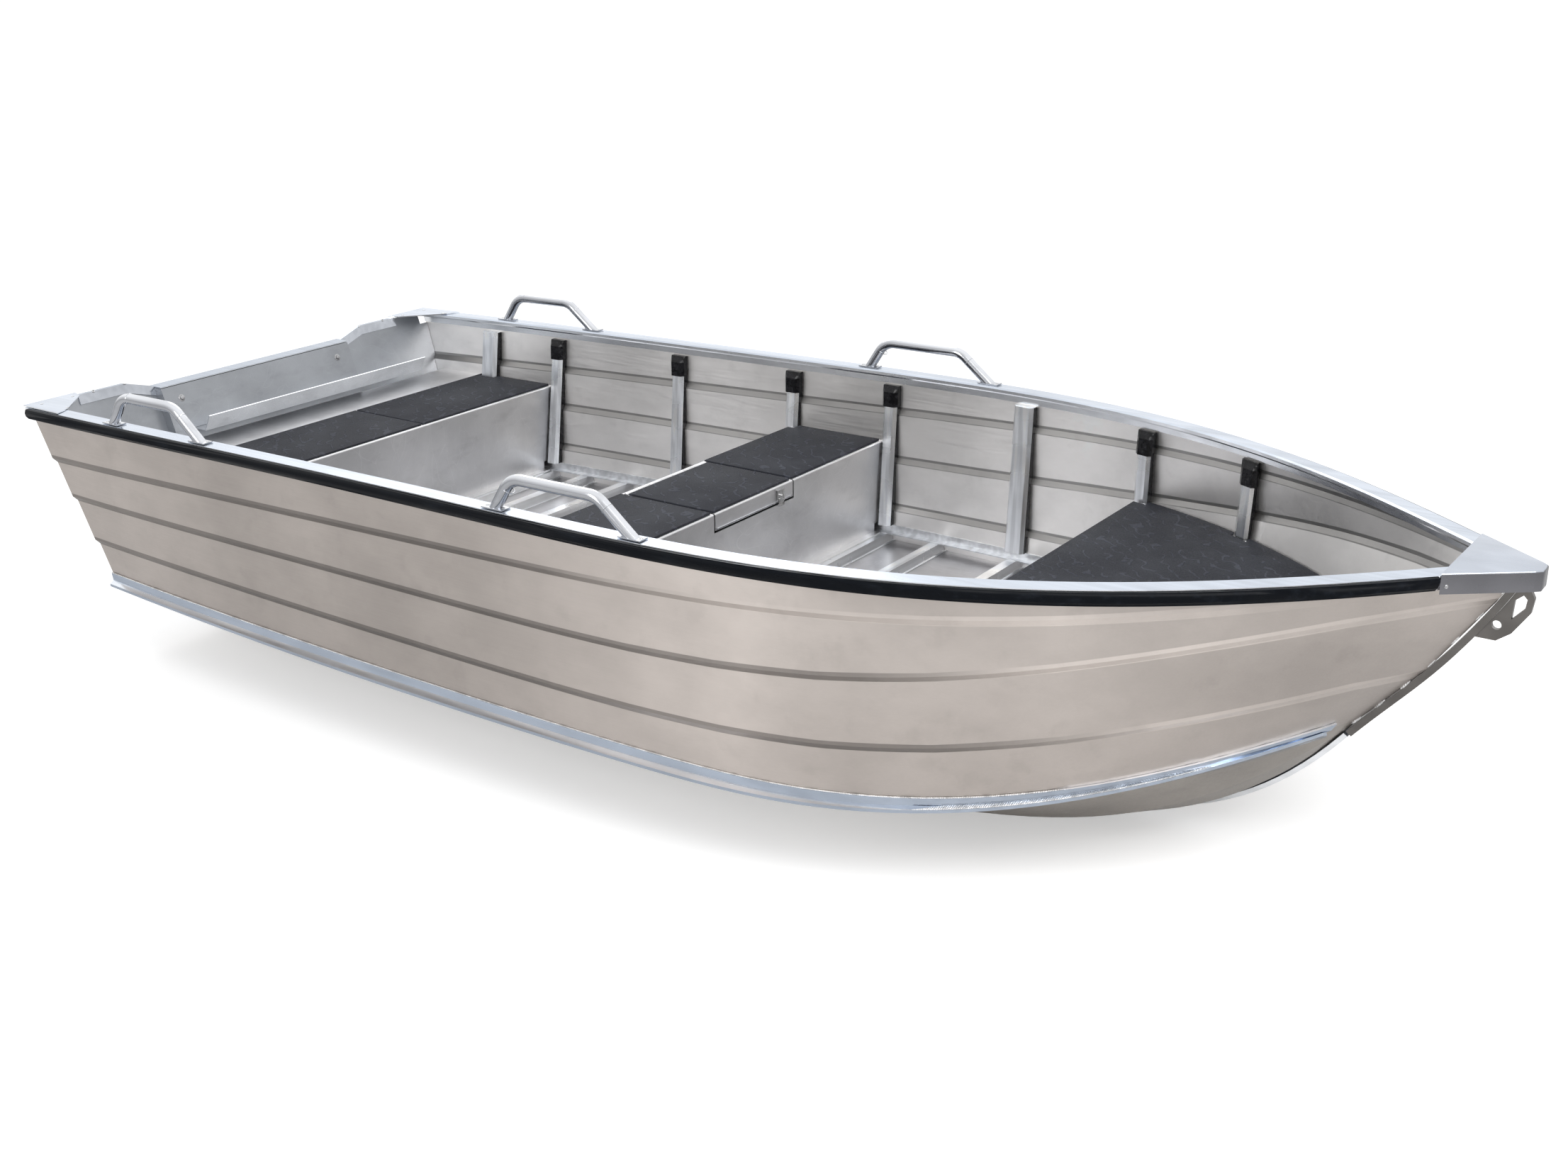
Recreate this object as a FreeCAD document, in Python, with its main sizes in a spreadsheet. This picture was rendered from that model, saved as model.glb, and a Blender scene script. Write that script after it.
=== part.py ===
import FreeCAD, Part
import Sketcher
import math
import os
import re

from FreeCAD import Placement, Rotation, Vector

# Open aluminium boat with stepped pressed sides, a V bottom with a flat keel pad, a floor
# sheet with hat-section ribs, bent sheet thwarts, a bow platform and a hatch in the centre thwart.
# The outlines are drawn with X forward from the transom's top edge, Y to port and Z up from the
# floor. Each finished piece is then moved back so that the origin lies half way along the boat.
# Sizes are in millimetres.

SIZES = [
    # Hull lines
    ("SheerLength", 3820), ("StemRake", 290), ("ForefootRake", 320),
    ("HalfBeam", 818), ("ChineInset", 28), ("BowHeight", 775), ("StemFootHeight", 365),
    ("TransomRun", 185), ("KeelStart", 256), ("ForefootHeight", 325), ("KeelGap", 5),
    ("StemBulge", 25), ("SkinThickness", 3), ("TopClearance", 5), ("SeatGap", 0.3), ("Overrun", 60),
    # Pressed seams of the sides
    ("SeamStep", 10), ("SeamBand", 14),
    # Keel, stem, chine and runners
    ("KeelBarDepth", 12), ("KeelBarWidth", 46), ("StemBarWidth", 34), ("StemBarDepth", 16),
    ("ChineLeg", 30), ("ChineLip", 24), ("ChineWall", 5),
    ("RunnerWidth", 30), ("RunnerInset", 43.4), ("RunnerStart", 340),
    # Gunwale rail and rubber strip
    ("RailOutside", 15), ("RailInside", 34), ("RailDrop", 34), ("RailBand", 40), ("RailWall", 4),
    ("RailLip", 16), ("RailEdge", 4), ("StripThickness", 12), ("StripHeight", 32), ("StripStart", 8),
    ("StripEdge", 8),
    # Bow fittings
    ("CapReach", 125), ("CapOverhang", 40), ("CapNoseHalfWidth", 30), ("CapOverlap", 20), ("CapStripGap", 14),
    ("CapFlange", 45), ("CapWall", 3), ("CapSpread", 5), ("CapCorner", 12),
    ("EyeThickness", 12), ("EyeHoleRadius", 10), ("EyeHoleAhead", 32), ("EyeHoleAbove", 34),
    ("EyeBack", 71), ("EyeReach", 99), ("EyeDrop", 175), ("EyeHeight", 122), ("EyeRoot", 8),
    # Transom
    ("TransomThickness", 4), ("TransomCut", 26), ("TransomShoulder", 95), ("PadWidth", 740),
    ("PadHeight", 330), ("PadThickness", 30), ("PadOuterThickness", 10), ("PadCorner", 30), ("PadRebate", 3),
    ("RailLegs", 22), ("TopRailWall", 3), ("CornerPlate", 150), ("CornerWall", 3),
    ("CornerOverhang", 14), ("CornerPlay", 6),
    ("TrayLevel", 556), ("TrayStart", -300), ("TrayEnd", 600), ("TrayShelf", 50), ("TrayFlare", 24),
    ("TrayRise", 48), ("TrayWall", 3),
    ("DrainRadius", 12), ("DrainSide", 60), ("DrainRise", 40), ("DrainFlange", 22), ("DrainBoss", 8),
    # Side frames and their moulded caps
    ("FrameWidth", 44), ("FrameDepth", 26), ("FrameShoulder", 15), ("FrameChamfer", 9),
    ("FrameLift", 1.1), ("WideFrame", 62),
    ("CapHeight", 62), ("CapSkin", 3), ("CapCrown", 18), ("CapUnder", 4),
    ("FrameAft", 315), ("FrameBefore", 27), ("FrameBeside", 5), ("FrameOnDeck", 22), ("FrameForward", 357),
    # Floor sheet, ribs and angles
    ("FloorLevel", 255), ("RibHeight", 24), ("RibFoot", 60), ("RibShoulder", 46), ("RibTop", 30),
    ("RibFlange", 2), ("FloorStart", 245), ("FloorUnder", 42), ("FloorWall", 3),
    ("FloorAngleLeg", 24), ("FloorAngleWall", 3), ("FloorAngleStart", 260), ("FloorAngleShort", 58),
    ("RibAhead", 21), ("RibBehind", 25), ("RibShort", 38),
    # Thwarts, mats and bow platform
    ("SeatHeight", 529), ("SeatWall", 3), ("SternSeatPlay", 3), ("SternSeatFront", 571),
    ("CentreSeatDepth", 318), ("SeatFlange", 22), ("SideGap", 0.5), ("BendRadius", 5),
    ("NotchPlay", 3), ("MatThickness", 5), ("MatMargin", 9), ("MatSeam", 3),
    ("SternMatDepth", 285), ("SternMatSeam", 172),
    ("PlatformHeight", 510), ("PlatformReach", 1162), ("PlatformDepth", 672), ("PlatformLip", 30),
    # Hatch in the centre thwart
    ("HatchStart", -42), ("HatchEnd", 322), ("HatchGap", 5), ("HatchFlange", 46), ("HatchInset", 19),
    ("HatchCutDepth", 52), ("HingePinRadius", 3), ("HingeKnuckleRadius", 6), ("HingePlay", 0.05),
    ("KnuckleGap", 0.4), ("HingeReach", 7), ("LatchWidth", 30), ("LatchHeight", 34), ("LatchThickness", 5),
    ("LatchSide", 257), ("LatchDrop", 10), ("LatchKnob", 6), ("LatchKnobReach", 12),
    ("LockerLow", 305), ("LockerWall", 2), ("LockerAftDrop", 14),
    # Grab handles
    ("HandleRadius", 14), ("HandleHeight", 92), ("HandleInset", 6), ("HandleBend", 60),
    ("HandleAftLean", 50), ("HandleForeLean", 96), ("HandleFootLength", 62), ("HandleFootWidth", 30),
    ("HandleFootWall", 3),
    ("AftHandleStart", 365), ("AftHandleLength", 385), ("ForeHandleAhead", 252), ("ForeHandleLength", 423),
]

# Shares of the length to the centre thwart, of the keel to the runners' ends, of the breadth to the
# edge of the flat keel pad, of the ways between the thwarts' frames, and of those between their ribs
CENTRE_SEAT_SHARE = 0.393979
RUNNER_END_SHARE = 0.6917386
PAD_BREADTH_SHARE = 0.24
FRAME_TWO_SHARE = 0.532895
FRAME_FIVE_SHARE = 0.527711
AFT_RIB_SHARES = {"RibTwo": 0.155405, "RibThree": 0.332207, "RibFour": 0.684685}
FORE_RIB_SHARES = {"RibSeven": 0.228571, "RibEight": 0.562338}

# Places that follow from the sizes
PLACES = {
    "ChineLength": "SheerLength - StemRake - TransomRun",
    "KeelLength": "SheerLength - ForefootRake - KeelStart",
    "ChineHalfBreadth": "HalfBeam - ChineInset",
    "CapStart": "SheerLength - CapReach",
    "CapNose": "SheerLength + CapOverhang",
    "EyeBase": "SheerLength - EyeBack",
    "EyeLow": "BowHeight - EyeDrop",
    "EyeHoleAlong": "EyeBase + EyeHoleAhead",
    "EyeHoleHeight": "EyeLow + EyeHoleAbove",
    "CentreSeatAft": "SheerLength * %s" % CENTRE_SEAT_SHARE,
    "CentreSeatFront": "CentreSeatAft + CentreSeatDepth",
    "HatchAft": "CentreSeatAft + HatchInset",
    "PlatformAft": "SheerLength - PlatformReach",
    "PlatformEnd": "PlatformAft + PlatformDepth",
    "FrameOne": "SternSeatFront + FrameBefore",
    "FrameTwo": "FrameOne + (FrameThree - FrameOne) * %s" % FRAME_TWO_SHARE,
    "FrameThree": "CentreSeatAft + FrameBeside",
    "FrameFour": "CentreSeatFront + FrameBefore",
    "FrameFive": "FrameFour + (FrameSix - FrameFour) * %s" % FRAME_FIVE_SHARE,
    "FrameSix": "PlatformAft + FrameOnDeck",
    "FrameSeven": "PlatformAft + FrameForward",
    "RibOne": "SternSeatFront + RibAhead",
    "RibFive": "CentreSeatAft - RibBehind",
    "RibSix": "FrameFour",
    "RibNine": "PlatformAft - RibShort",
    "FloorEnd": "PlatformAft + FloorUnder",
    "FloorAngleEnd": "PlatformAft - FloorAngleShort",
    "RunnerOffset": "KeelGap + (ChineHalfBreadth - KeelGap) * %s - RunnerInset" % PAD_BREADTH_SHARE,
    "RunnerEnd": "KeelStart + KeelLength * %s" % RUNNER_END_SHARE,
    "AftHandleEnd": "AftHandleStart + AftHandleLength",
    "ForeHandleStart": "CentreSeatAft + ForeHandleAhead",
    "ForeHandleEnd": "ForeHandleStart + ForeHandleLength",
}
for name, share in AFT_RIB_SHARES.items():
    PLACES[name] = "RibOne + (RibFive - RibOne) * %s" % share
for name, share in FORE_RIB_SHARES.items():
    PLACES[name] = "RibSix + (RibNine - RibSix) * %s" % share

doc = FreeCAD.newDocument("boat")
sheet = doc.addObject("Spreadsheet::Sheet", "sizes")
for row, (alias, value) in enumerate(SIZES, start=1):
    sheet.set("A%d" % row, alias)
    sheet.set("B%d" % row, str(value))
    sheet.setAlias("B%d" % row, alias)
doc.recompute()


def in_cells(words):
    """An expression in which each size's name stands for its cell, and each place for its rule."""
    def cell(found):
        name = found.group()
        return "(%s)" % in_cells(PLACES[name]) if name in PLACES else "sizes." + name
    return re.sub(r"[A-Z][A-Za-z]+", cell, words)


def size(name):
    """The value of a size, or of a place that follows from the sizes."""
    return float(sheet.evalExpression(in_cells(name)))


def bind(piece, **rules):
    """Binds properties, such as Placement_Base_x, to expressions in the sizes' names."""
    for place, words in rules.items():
        piece.setExpression(place.replace("_", "."), in_cells(words))
    return piece


# Half way from the transom's corner plates to the nose of the bow cap
MIDDLE = "(CapNose - CornerOverhang) / 2"
PARTS = []


def keep(piece, name, along="0"):
    """Makes a document object one of the boat's pieces."""
    piece.Label = name
    bind(piece, Placement_Base_x="%s - %s" % (along, MIDDLE))
    PARTS.append(piece)
    return piece


def from_shape(name, shape):
    """A document object for a form that only Part's own functions can make."""
    feature = doc.addObject("Part::Feature", name)
    feature.Shape = shape
    return feature


def mirror_of(piece, name):
    """The starboard twin of a port piece."""
    twin = doc.addObject("Part::Mirroring", name)
    twin.Source = piece
    twin.Normal = Vector(0, 1, 0)
    twin.Label = name
    PARTS.append(twin)
    return twin


def keep_pair(piece, stem):
    keep(piece, stem + "_port")
    mirror_of(piece, stem + "_starboard")


def combined(kind, name, base, tool):
    """A cut or a common piece of two document objects."""
    made = doc.addObject("Part::" + kind, name)
    made.Base = base
    made.Tool = tool
    return made


def joined(name, pieces):
    made = doc.addObject("Part::MultiFuse", name)
    made.Shapes = pieces
    made.Refine = True
    return made


def gathered(name, pieces):
    made = doc.addObject("Part::Compound", name)
    made.Links = pieces
    return made


def block(name, x, y, z, length, width, height):
    """A box from its low corner, bound to the sheet."""
    box = doc.addObject("Part::Box", name)
    return bind(box, Placement_Base_x=x, Placement_Base_y=y, Placement_Base_z=z,
                Length=length, Width=width, Height=height)


def rod(name, x, y, z, turn, radius, height):
    """A cylinder from the centre of its base, turned about X or Y from upright, bound to the sheet."""
    cylinder = doc.addObject("Part::Cylinder", name)
    cylinder.Placement.Rotation = turn
    return bind(cylinder, Placement_Base_x=x, Placement_Base_y=y, Placement_Base_z=z,
                Radius=radius, Height=height)


ALONG_Y = Rotation(Vector(1, 0, 0), -90)
ALONG_X = Rotation(Vector(0, 1, 0), 90)


def outline_sketch(body, name, plane, corners):
    """A closed outline in one of the body's own planes, each corner held by two sizes."""
    sketch = body.newObject("Sketcher::SketchObject", name)
    origin = [feature for feature in body.Origin.OriginFeatures if feature.Role == plane][0]
    sketch.AttachmentSupport = (origin, [""])
    sketch.MapMode = "FlatFace"
    rules = [(in_cells(across), in_cells(up)) for across, up in corners]
    spots = [Vector(sketch.evalExpression(across), sketch.evalExpression(up), 0) for across, up in rules]
    count = len(spots)
    for index in range(count):
        sketch.addGeometry(Part.LineSegment(spots[index], spots[(index + 1) % count]), False)
    for index in range(count):
        sketch.addConstraint(Sketcher.Constraint("Coincident", index, 2, (index + 1) % count, 1))
    for index, rule in enumerate(rules):
        for kind, value, words in zip(("DistanceX", "DistanceY"), spots[index], rule):
            number = sketch.addConstraint(Sketcher.Constraint(kind, -1, 1, index, 1, value))
            sketch.setExpression("Constraints[%d]" % number, words)
    return sketch


def profile_body(name, corners, width, plane="XZ_Plane"):
    """A body whose profile lies in the centre plane and is padded to both sides."""
    body = doc.addObject("PartDesign::Body", name)
    sketch = outline_sketch(body, name + "_profile", plane, corners)
    pad = body.newObject("PartDesign::Pad", name + "_pad")
    pad.Profile = sketch
    pad.Midplane = True
    bind(pad, Length=width)
    body.Tip = pad
    doc.recompute()
    return body


def rounded(body, radius, chosen):
    """Rounds the edges of a body that the test picks."""
    base = body.Tip
    fillet = body.newObject("PartDesign::Fillet", body.Name + "_rounding")
    picked = ["Edge%d" % (index + 1) for index, edge in enumerate(base.Shape.Edges) if chosen(edge)]
    fillet.Base = (base, picked)
    bind(fillet, Radius=radius)
    body.Tip = fillet
    doc.recompute()
    return body


# An edge runs across the boat if its breadth is nearly all of its length
ACROSS_SHARE = 0.99


def bend_at(*places):
    """Picks the edges across the boat that pass through places in the centre plane."""
    spots = [(size(x), size(z)) for x, z in places]

    def chosen(edge):
        box = edge.BoundBox
        return box.YLength > box.DiagonalLength * ACROSS_SHARE and any(
            abs(box.XMin - x) < size("SeatGap") and abs(box.ZMin - z) < size("SeatGap") for x, z in spots)
    return chosen


# Hull lines. Each line is a spline through stations that are shares of its own length.
STATION_SHARES = [0, 0.15, 0.3, 0.45, 0.6, 0.7, 0.8, 0.88, 0.94, 1]
SHEER_BREADTH_SHARES = [0.944, 0.967, 0.98, 0.996, 0.9895, 0.914, 0.732, 0.4965, 0.2705, 0.02]
SHEER_HEIGHT_SHARES = [0.923, 0.9384, 0.9509, 0.959, 0.9633, 0.966, 0.971, 0.9787, 0.9876, 1]
CHINE_BREADTH_SHARES = [0.886, 0.943, 0.981, 0.9994, 0.997, 0.9486, 0.7854, 0.568, 0.3355, 0.02]
CHINE_HEIGHT_SHARES = [0.57, 0.5702, 0.5695, 0.568, 0.565, 0.56, 0.597, 0.7109, 0.8447, 1]
KEEL_RISE_SHARES = [0, 0, 0, 0, 0, 0.001, 0.018, 0.12, 0.40, 1]
SEAM_HEIGHT_SHARES = [
    [0.72, 0.7411, 0.7599, 0.7816, 0.813, 0.8424, 0.8779, 0.9081, 0.9301, 0.95],
    [0.5, 0.5055, 0.5106, 0.5135, 0.5377, 0.5889, 0.6726, 0.7481, 0.7949, 0.82],
    [0.25, 0.2495, 0.2469, 0.2428, 0.2476, 0.2703, 0.3109, 0.345, 0.361, 0.36],
]
SEAM_STEP_SHARES = [
    [1, 1, 1, 0.98, 0.92, 0.75, 0.45, 0.22, 0.1, 0.05],
    [1, 1, 1, 1, 1, 1, 0.97, 0.85, 0.62, 0.3],
    [1, 1, 1, 1, 1, 1, 0.97, 0.85, 0.62, 0.3],
]
PAD_RISE_SHARES = [0.03, 0.03, 0.03, 0.03, 0.031, 0.036, 0.05, 0.07, 0.091, 0.12]
BILGE_BREADTH_SHARE = 0.62
# How far the bottom's edge stands in from the chine, in thicknesses of the sheet
EDGE_SHARE = 1.15
BILGE_RISE_SHARES = [0.5, 0.5, 0.504, 0.504, 0.482, 0.441, 0.3955, 0.3806, 0.4, 0.45]


def mix(low, high, share):
    return low + (high - low) * share


class Line:
    """A hull line whose X is linear in its parameter, from 0 at the transom to 1 at the stem."""

    def __init__(self, start, end, points):
        self.start = start
        self.end = end
        self.curve = Part.BSplineCurve()
        self.curve.interpolate(Points=points, Parameters=[float(s) for s in STATION_SHARES])

    def at(self, x):
        share = (x - self.start) / (self.end - self.start)
        share = min(max(share, 0.0), 1.0)
        return self.curve.value(share)


def stations(start, end, breadths, heights):
    return [Vector(mix(start, end, s), b, z) for s, b, z in zip(STATION_SHARES, breadths, heights)]


sheer_points = stations(0, size("SheerLength"),
                        [b * size("HalfBeam") for b in SHEER_BREADTH_SHARES],
                        [z * size("BowHeight") for z in SHEER_HEIGHT_SHARES])
chine_end = size("TransomRun") + size("ChineLength")
chine_points = stations(size("TransomRun"), chine_end,
                        [b * size("ChineHalfBreadth") for b in CHINE_BREADTH_SHARES],
                        [z * size("StemFootHeight") for z in CHINE_HEIGHT_SHARES])
keel_end = size("KeelStart") + size("KeelLength")
keel_points = stations(size("KeelStart"), keel_end,
                       [size("KeelGap")] * len(STATION_SHARES),
                       [mix(size("KeelBarDepth"), size("ForefootHeight"), r) for r in KEEL_RISE_SHARES])


def side_outline(index):
    """Outer points of the side plate at one station, from the sheer down to the chine."""
    top = sheer_points[index] - Vector(0, 0, size("TopClearance"))
    foot = chine_points[index]
    inset = [size("SeamStep") * steps[index] for steps in SEAM_STEP_SHARES]
    outer_foot = foot + Vector(0, sum(inset), 0)
    height = (top - foot).Length
    along = STATION_SHARES[index]
    points = [top]
    step_in = 0
    for number, heights in enumerate(SEAM_HEIGHT_SHARES):
        bulge = size("StemBulge") * along
        for drop in (0, size("SeamBand") / height):
            share = heights[index] - drop
            base = outer_foot + (top - outer_foot) * share
            if drop:
                step_in = step_in + inset[number]
            points.append(base + Vector(bulge * 4 * share * (1 - share) * along, -step_in, 0))
    points.append(foot)
    return points


def bottom_outline(index):
    """Outer points of the bottom plate at one station, from the chine down to the keel."""
    chine = chine_points[index] - Vector(0, size("SkinThickness") * EDGE_SHARE + size("SeatGap"), 0)
    keel = keel_points[index]
    bilge = Vector(mix(keel.x, chine.x, BILGE_RISE_SHARES[index]),
                   mix(keel.y, chine.y, BILGE_BREADTH_SHARE),
                   mix(keel.z, chine.z, BILGE_RISE_SHARES[index]))
    pad = Vector(mix(keel.x, chine.x, PAD_RISE_SHARES[index]),
                 mix(keel.y, chine.y, PAD_BREADTH_SHARE),
                 mix(keel.z, chine.z, PAD_RISE_SHARES[index]))
    return [chine, bilge, pad, keel]


def offset_inward(points, distance):
    """Moves an outline that runs downwards on the port side towards the inside of the hull."""
    normals = []
    for first, second in zip(points, points[1:]):
        run = Vector(0, second.y - first.y, second.z - first.z)
        run.normalize()
        normals.append(Vector(0, run.z, -run.y))
    moved = []
    for index, point in enumerate(points):
        before = normals[max(index - 1, 0)]
        after = normals[min(index, len(normals) - 1)]
        both = before + after
        both.normalize()
        moved.append(point + both * (distance / both.dot(after)))
    return moved


def mirrored(shape):
    return shape.mirror(Vector(0, 0, 0), Vector(0, 1, 0))


def interpolated(points, parameters):
    curve = Part.BSplineCurve()
    curve.interpolate(Points=points, Parameters=parameters)
    return curve


def skinned(outlines, parameters, end="flat"):
    """A solid whose faces run from outline to outline, smooth along the boat and ruled across it.
    A sheet's outlines run along one side of it and back along the other. A fan's ends are
    triangles that meet at the outline's last point."""
    count = len(outlines[0])
    edges = [interpolated([outline[k] for outline in outlines], parameters).toShape()
             for k in range(count)]
    faces = [Part.makeRuledSurface(edges[k], edges[(k + 1) % count]) for k in range(count)]
    for outline in (outlines[0], outlines[-1]):
        if end == "sheet":
            for k in range(count // 2 - 1):
                near = Part.makeLine(outline[k], outline[k + 1])
                far = Part.makeLine(outline[count - 1 - k], outline[count - 2 - k])
                faces.append(Part.makeRuledSurface(near, far))
        elif end == "fan":
            for near, far in zip(outline, outline[1:-1]):
                corners = [outline[-1], near, far, outline[-1]]
                faces.append(Part.Face(Part.makePolygon(corners)))
        else:
            faces.append(Part.Face(Part.makePolygon(list(outline) + [outline[0]])))
    shell = Part.makeCompound(faces)
    shell.sewShape()
    solid = Part.makeSolid(shell.Shells[0])
    if solid.Volume < 0:
        solid.reverse()
    return solid


def loft(outlines, parameters=None, end="flat"):
    if parameters is None:
        parameters = [index / (len(outlines) - 1) for index in range(len(outlines))]
    return skinned(outlines, [float(value) for value in parameters], end)


def hull_lines(outline, count):
    lines = []
    for number in range(count):
        points = [outline(index)[number] for index in range(len(STATION_SHARES))]
        start, end = points[0].x, points[-1].x
        straight = [Vector(mix(start, end, s), p.y, p.z) for s, p in zip(STATION_SHARES, points)]
        lines.append(Line(start, end, straight))
    return lines


def inner_side(index):
    return offset_inward(side_outline(index), size("SkinThickness"))


def inner_bottom(index):
    return offset_inward(bottom_outline(index), size("SkinThickness"))


SIDE_COUNT = len(side_outline(0))
BOTTOM_COUNT = len(bottom_outline(0))
outer_side_lines = hull_lines(side_outline, SIDE_COUNT)
inner_side_lines = hull_lines(inner_side, SIDE_COUNT)
outer_bottom_lines = hull_lines(bottom_outline, BOTTOM_COUNT)
inner_bottom_lines = hull_lines(inner_bottom, BOTTOM_COUNT)


def plate(outer_lines, inner_lines):
    outlines = []
    for share in STATION_SHARES:
        points = [line.curve.value(float(share)) for line in outer_lines]
        points += [line.curve.value(float(share)) for line in reversed(inner_lines)]
        outlines.append(points)
    return skinned(outlines, [float(share) for share in STATION_SHARES], end="sheet")


side = plate(outer_side_lines, inner_side_lines)
bottom = plate(outer_bottom_lines, inner_bottom_lines)
keep_pair(from_shape("side_plate", side), "side_plate")
keep_pair(from_shape("bottom_plate", bottom), "bottom_plate")


def section(lines, x):
    return [line.at(x) for line in lines]


def breadth(lines, x, z):
    """Half breadth of a plate's surface at one place along the boat and one height."""
    points = sorted(section(lines, x), key=lambda point: point.z)
    for low, high in zip(points, points[1:]):
        if low.z <= z <= high.z:
            return mix(low.y, high.y, (z - low.z) / (high.z - low.z))
    return points[0].y if z < points[0].z else points[-1].y


def inner_breadth(x, z):
    if z >= inner_side_lines[-1].at(x).z:
        return breadth(inner_side_lines, x, z)
    return breadth(inner_bottom_lines, x, z)


# Rails that follow a hull line, given by a profile at each station
def unit_along(vector):
    length = vector.Length
    return vector * (1 / length)


def rail_stations(first, last, line_start, line_end):
    shares = [s for s in STATION_SHARES if first < mix(line_start, line_end, s) < last]
    ends = [(x - line_start) / (line_end - line_start) for x in (first, last)]
    return [ends[0]] + shares + [ends[1]]


def sheer_frame(share):
    line = outer_side_lines[0]
    place = line.curve.value(share)
    forward = line.curve.tangent(share)[0]
    outward = unit_along(Vector(-forward.y, forward.x, 0))
    return place, outward, unit_along(place - outer_side_lines[1].curve.value(share))


def sheer_rail(profile, first, last):
    line = outer_side_lines[0]
    outlines = []
    for share in rail_stations(first, last, line.start, line.end):
        place, outward, lean = sheer_frame(share)
        outlines.append([place + outward * out + lean * up for out, up in profile])
    return loft(outlines, rail_stations(first, last, line.start, line.end))


top = size("TopClearance")
skin = size("SkinThickness")
gap = size("SeatGap")
wall = size("RailWall")
rail_profile = [
    (size("RailOutside"), top - size("RailEdge") / 4), (size("RailOutside"), top - size("RailDrop")),
    (gap, top - size("RailDrop")), (gap, gap), (-skin - gap, gap),
    (-skin - gap, top - size("RailBand")), (-skin - wall, top - size("RailBand")),
    (-skin - wall, top - size("RailLip")),
    (-size("RailInside") + size("RailEdge") / 2, top - size("RailLip")),
    (-size("RailInside"), top - size("RailLip") + size("RailEdge")),
    (-size("RailInside"), top - size("RailEdge")),
    (-size("RailInside") + size("RailEdge"), top),
]
rail_end = size("CapStart") + size("CapOverlap")
strip_end = size("CapStart") - size("CapStripGap")
rail = sheer_rail(rail_profile, 0, rail_end)
keep_pair(from_shape("gunwale_rail", rail), "gunwale_rail")

out = size("RailOutside") + gap
strip = size("StripThickness")
edge = size("StripEdge")
# Drops of the strip's three upper corners in edges, and the part of its thickness that is flat below
STRIP_DROPS = [0.4, 0.5, 1.4]
STRIP_FLAT_SHARE = 0.6
flat = out + strip * STRIP_FLAT_SHARE
strip_profile = [
    (out, top - edge * STRIP_DROPS[0]), (flat, top - edge * STRIP_DROPS[1]),
    (out + strip, top - edge * STRIP_DROPS[2]),
    (out + strip, top - size("StripHeight") + edge), (flat, top - size("StripHeight")),
    (out, top - size("StripHeight")),
]
fender = sheer_rail(strip_profile, size("StripStart"), strip_end)
keep_pair(from_shape("fender_strip", fender), "fender_strip")


# Where the chine rail ends along its line, how far its corner swells in thicknesses of its wall, and
# the part of its leg that lies on the bottom
CHINE_END_SHARE = 0.985
CHINE_SWELL = 1.6
BOTTOM_LEG_SHARE = 0.8


def chine_rail():
    """A welded corner section whose legs lie on the side and on the bottom."""
    outlines = []
    shares = [float(share) for share in STATION_SHARES[:-1]] + [CHINE_END_SHARE]
    leg, thick = size("ChineLeg"), size("ChineWall")
    for share in shares:
        corner = outer_side_lines[-1].curve.value(share)
        along = outer_side_lines[-1].curve.tangent(share)[0]
        up = unit_along(outer_side_lines[-2].curve.value(share) - corner)
        edge = outer_bottom_lines[0].curve.value(share)
        down = unit_along(outer_bottom_lines[1].curve.value(share) - edge)
        out_side = unit_along(along.cross(up))
        out_side = out_side * (1 if out_side.y > 0 else -1)
        out_bottom = unit_along(along.cross(down))
        out_bottom = out_bottom * (-1 if out_bottom.z > 0 else 1)
        outlines.append([
            corner + up * leg + out_side * gap * 1.5,
            corner + up * leg + out_side * thick,
            corner + up * (leg / 3) + out_side * (thick * CHINE_SWELL),
            corner + Vector(0, size("ChineLip"), thick / 2),
            corner + Vector(0, size("ChineLip"), -thick),
            corner + down * (leg / 3) + out_bottom * (thick * CHINE_SWELL),
            edge + down * (leg * BOTTOM_LEG_SHARE) + out_bottom * thick,
            edge + down * (leg * BOTTOM_LEG_SHARE) + out_bottom * gap * 1.5,
            corner + out_bottom * gap * 2 + out_side * gap * 2,
        ])
    return loft(outlines, shares, end="fan")


keep_pair(from_shape("chine_rail", chine_rail()), "chine_rail")


# Breadth of a bar's outer face to that of its inner face
TAPER_SHARE = 0.8


def centre_bar(points, width, depth, parameters=None):
    """A flat bar along the centre plane whose inner face runs through the points."""
    outlines = []
    for index, point in enumerate(points):
        before = points[max(index - 1, 0)]
        after = points[min(index + 1, len(points) - 1)]
        along = unit_along(after - before)
        outward = Vector(along.z, 0, -along.x)
        half = Vector(0, width / 2, 0)
        inner = point + outward * gap
        outer = point + outward * depth
        taper = half * TAPER_SHARE
        outlines.append([inner - half, inner + half, outer + taper, outer - taper])
    return loft(outlines, parameters)


keel_line = [Vector(p.x, 0, p.z) for p in keel_points]
keel_bar = centre_bar(keel_line, size("KeelBarWidth"), size("KeelBarDepth"), STATION_SHARES)
keep(from_shape("keel_bar", keel_bar), "keel_bar")

STEM_SHARES = [0.12, 0.3, 0.5, 0.75, 0.97]
stem_top = outer_side_lines[0].curve.value(1.0)
stem_line = [keel_line[-1] + unit_along(keel_line[-1] - keel_line[-2]) * size("SkinThickness")]
for share in STEM_SHARES:
    spot = mix(chine_points[-1].x, stem_top.x, share) + size("StemBulge") * 4 * share * (1 - share)
    stem_line.append(Vector(spot, 0, mix(chine_points[-1].z, stem_top.z, share)))
stem_bar = centre_bar(stem_line, size("StemBarWidth"), size("StemBarDepth"))
keep(from_shape("stem_bar", stem_bar), "stem_bar")


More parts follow.
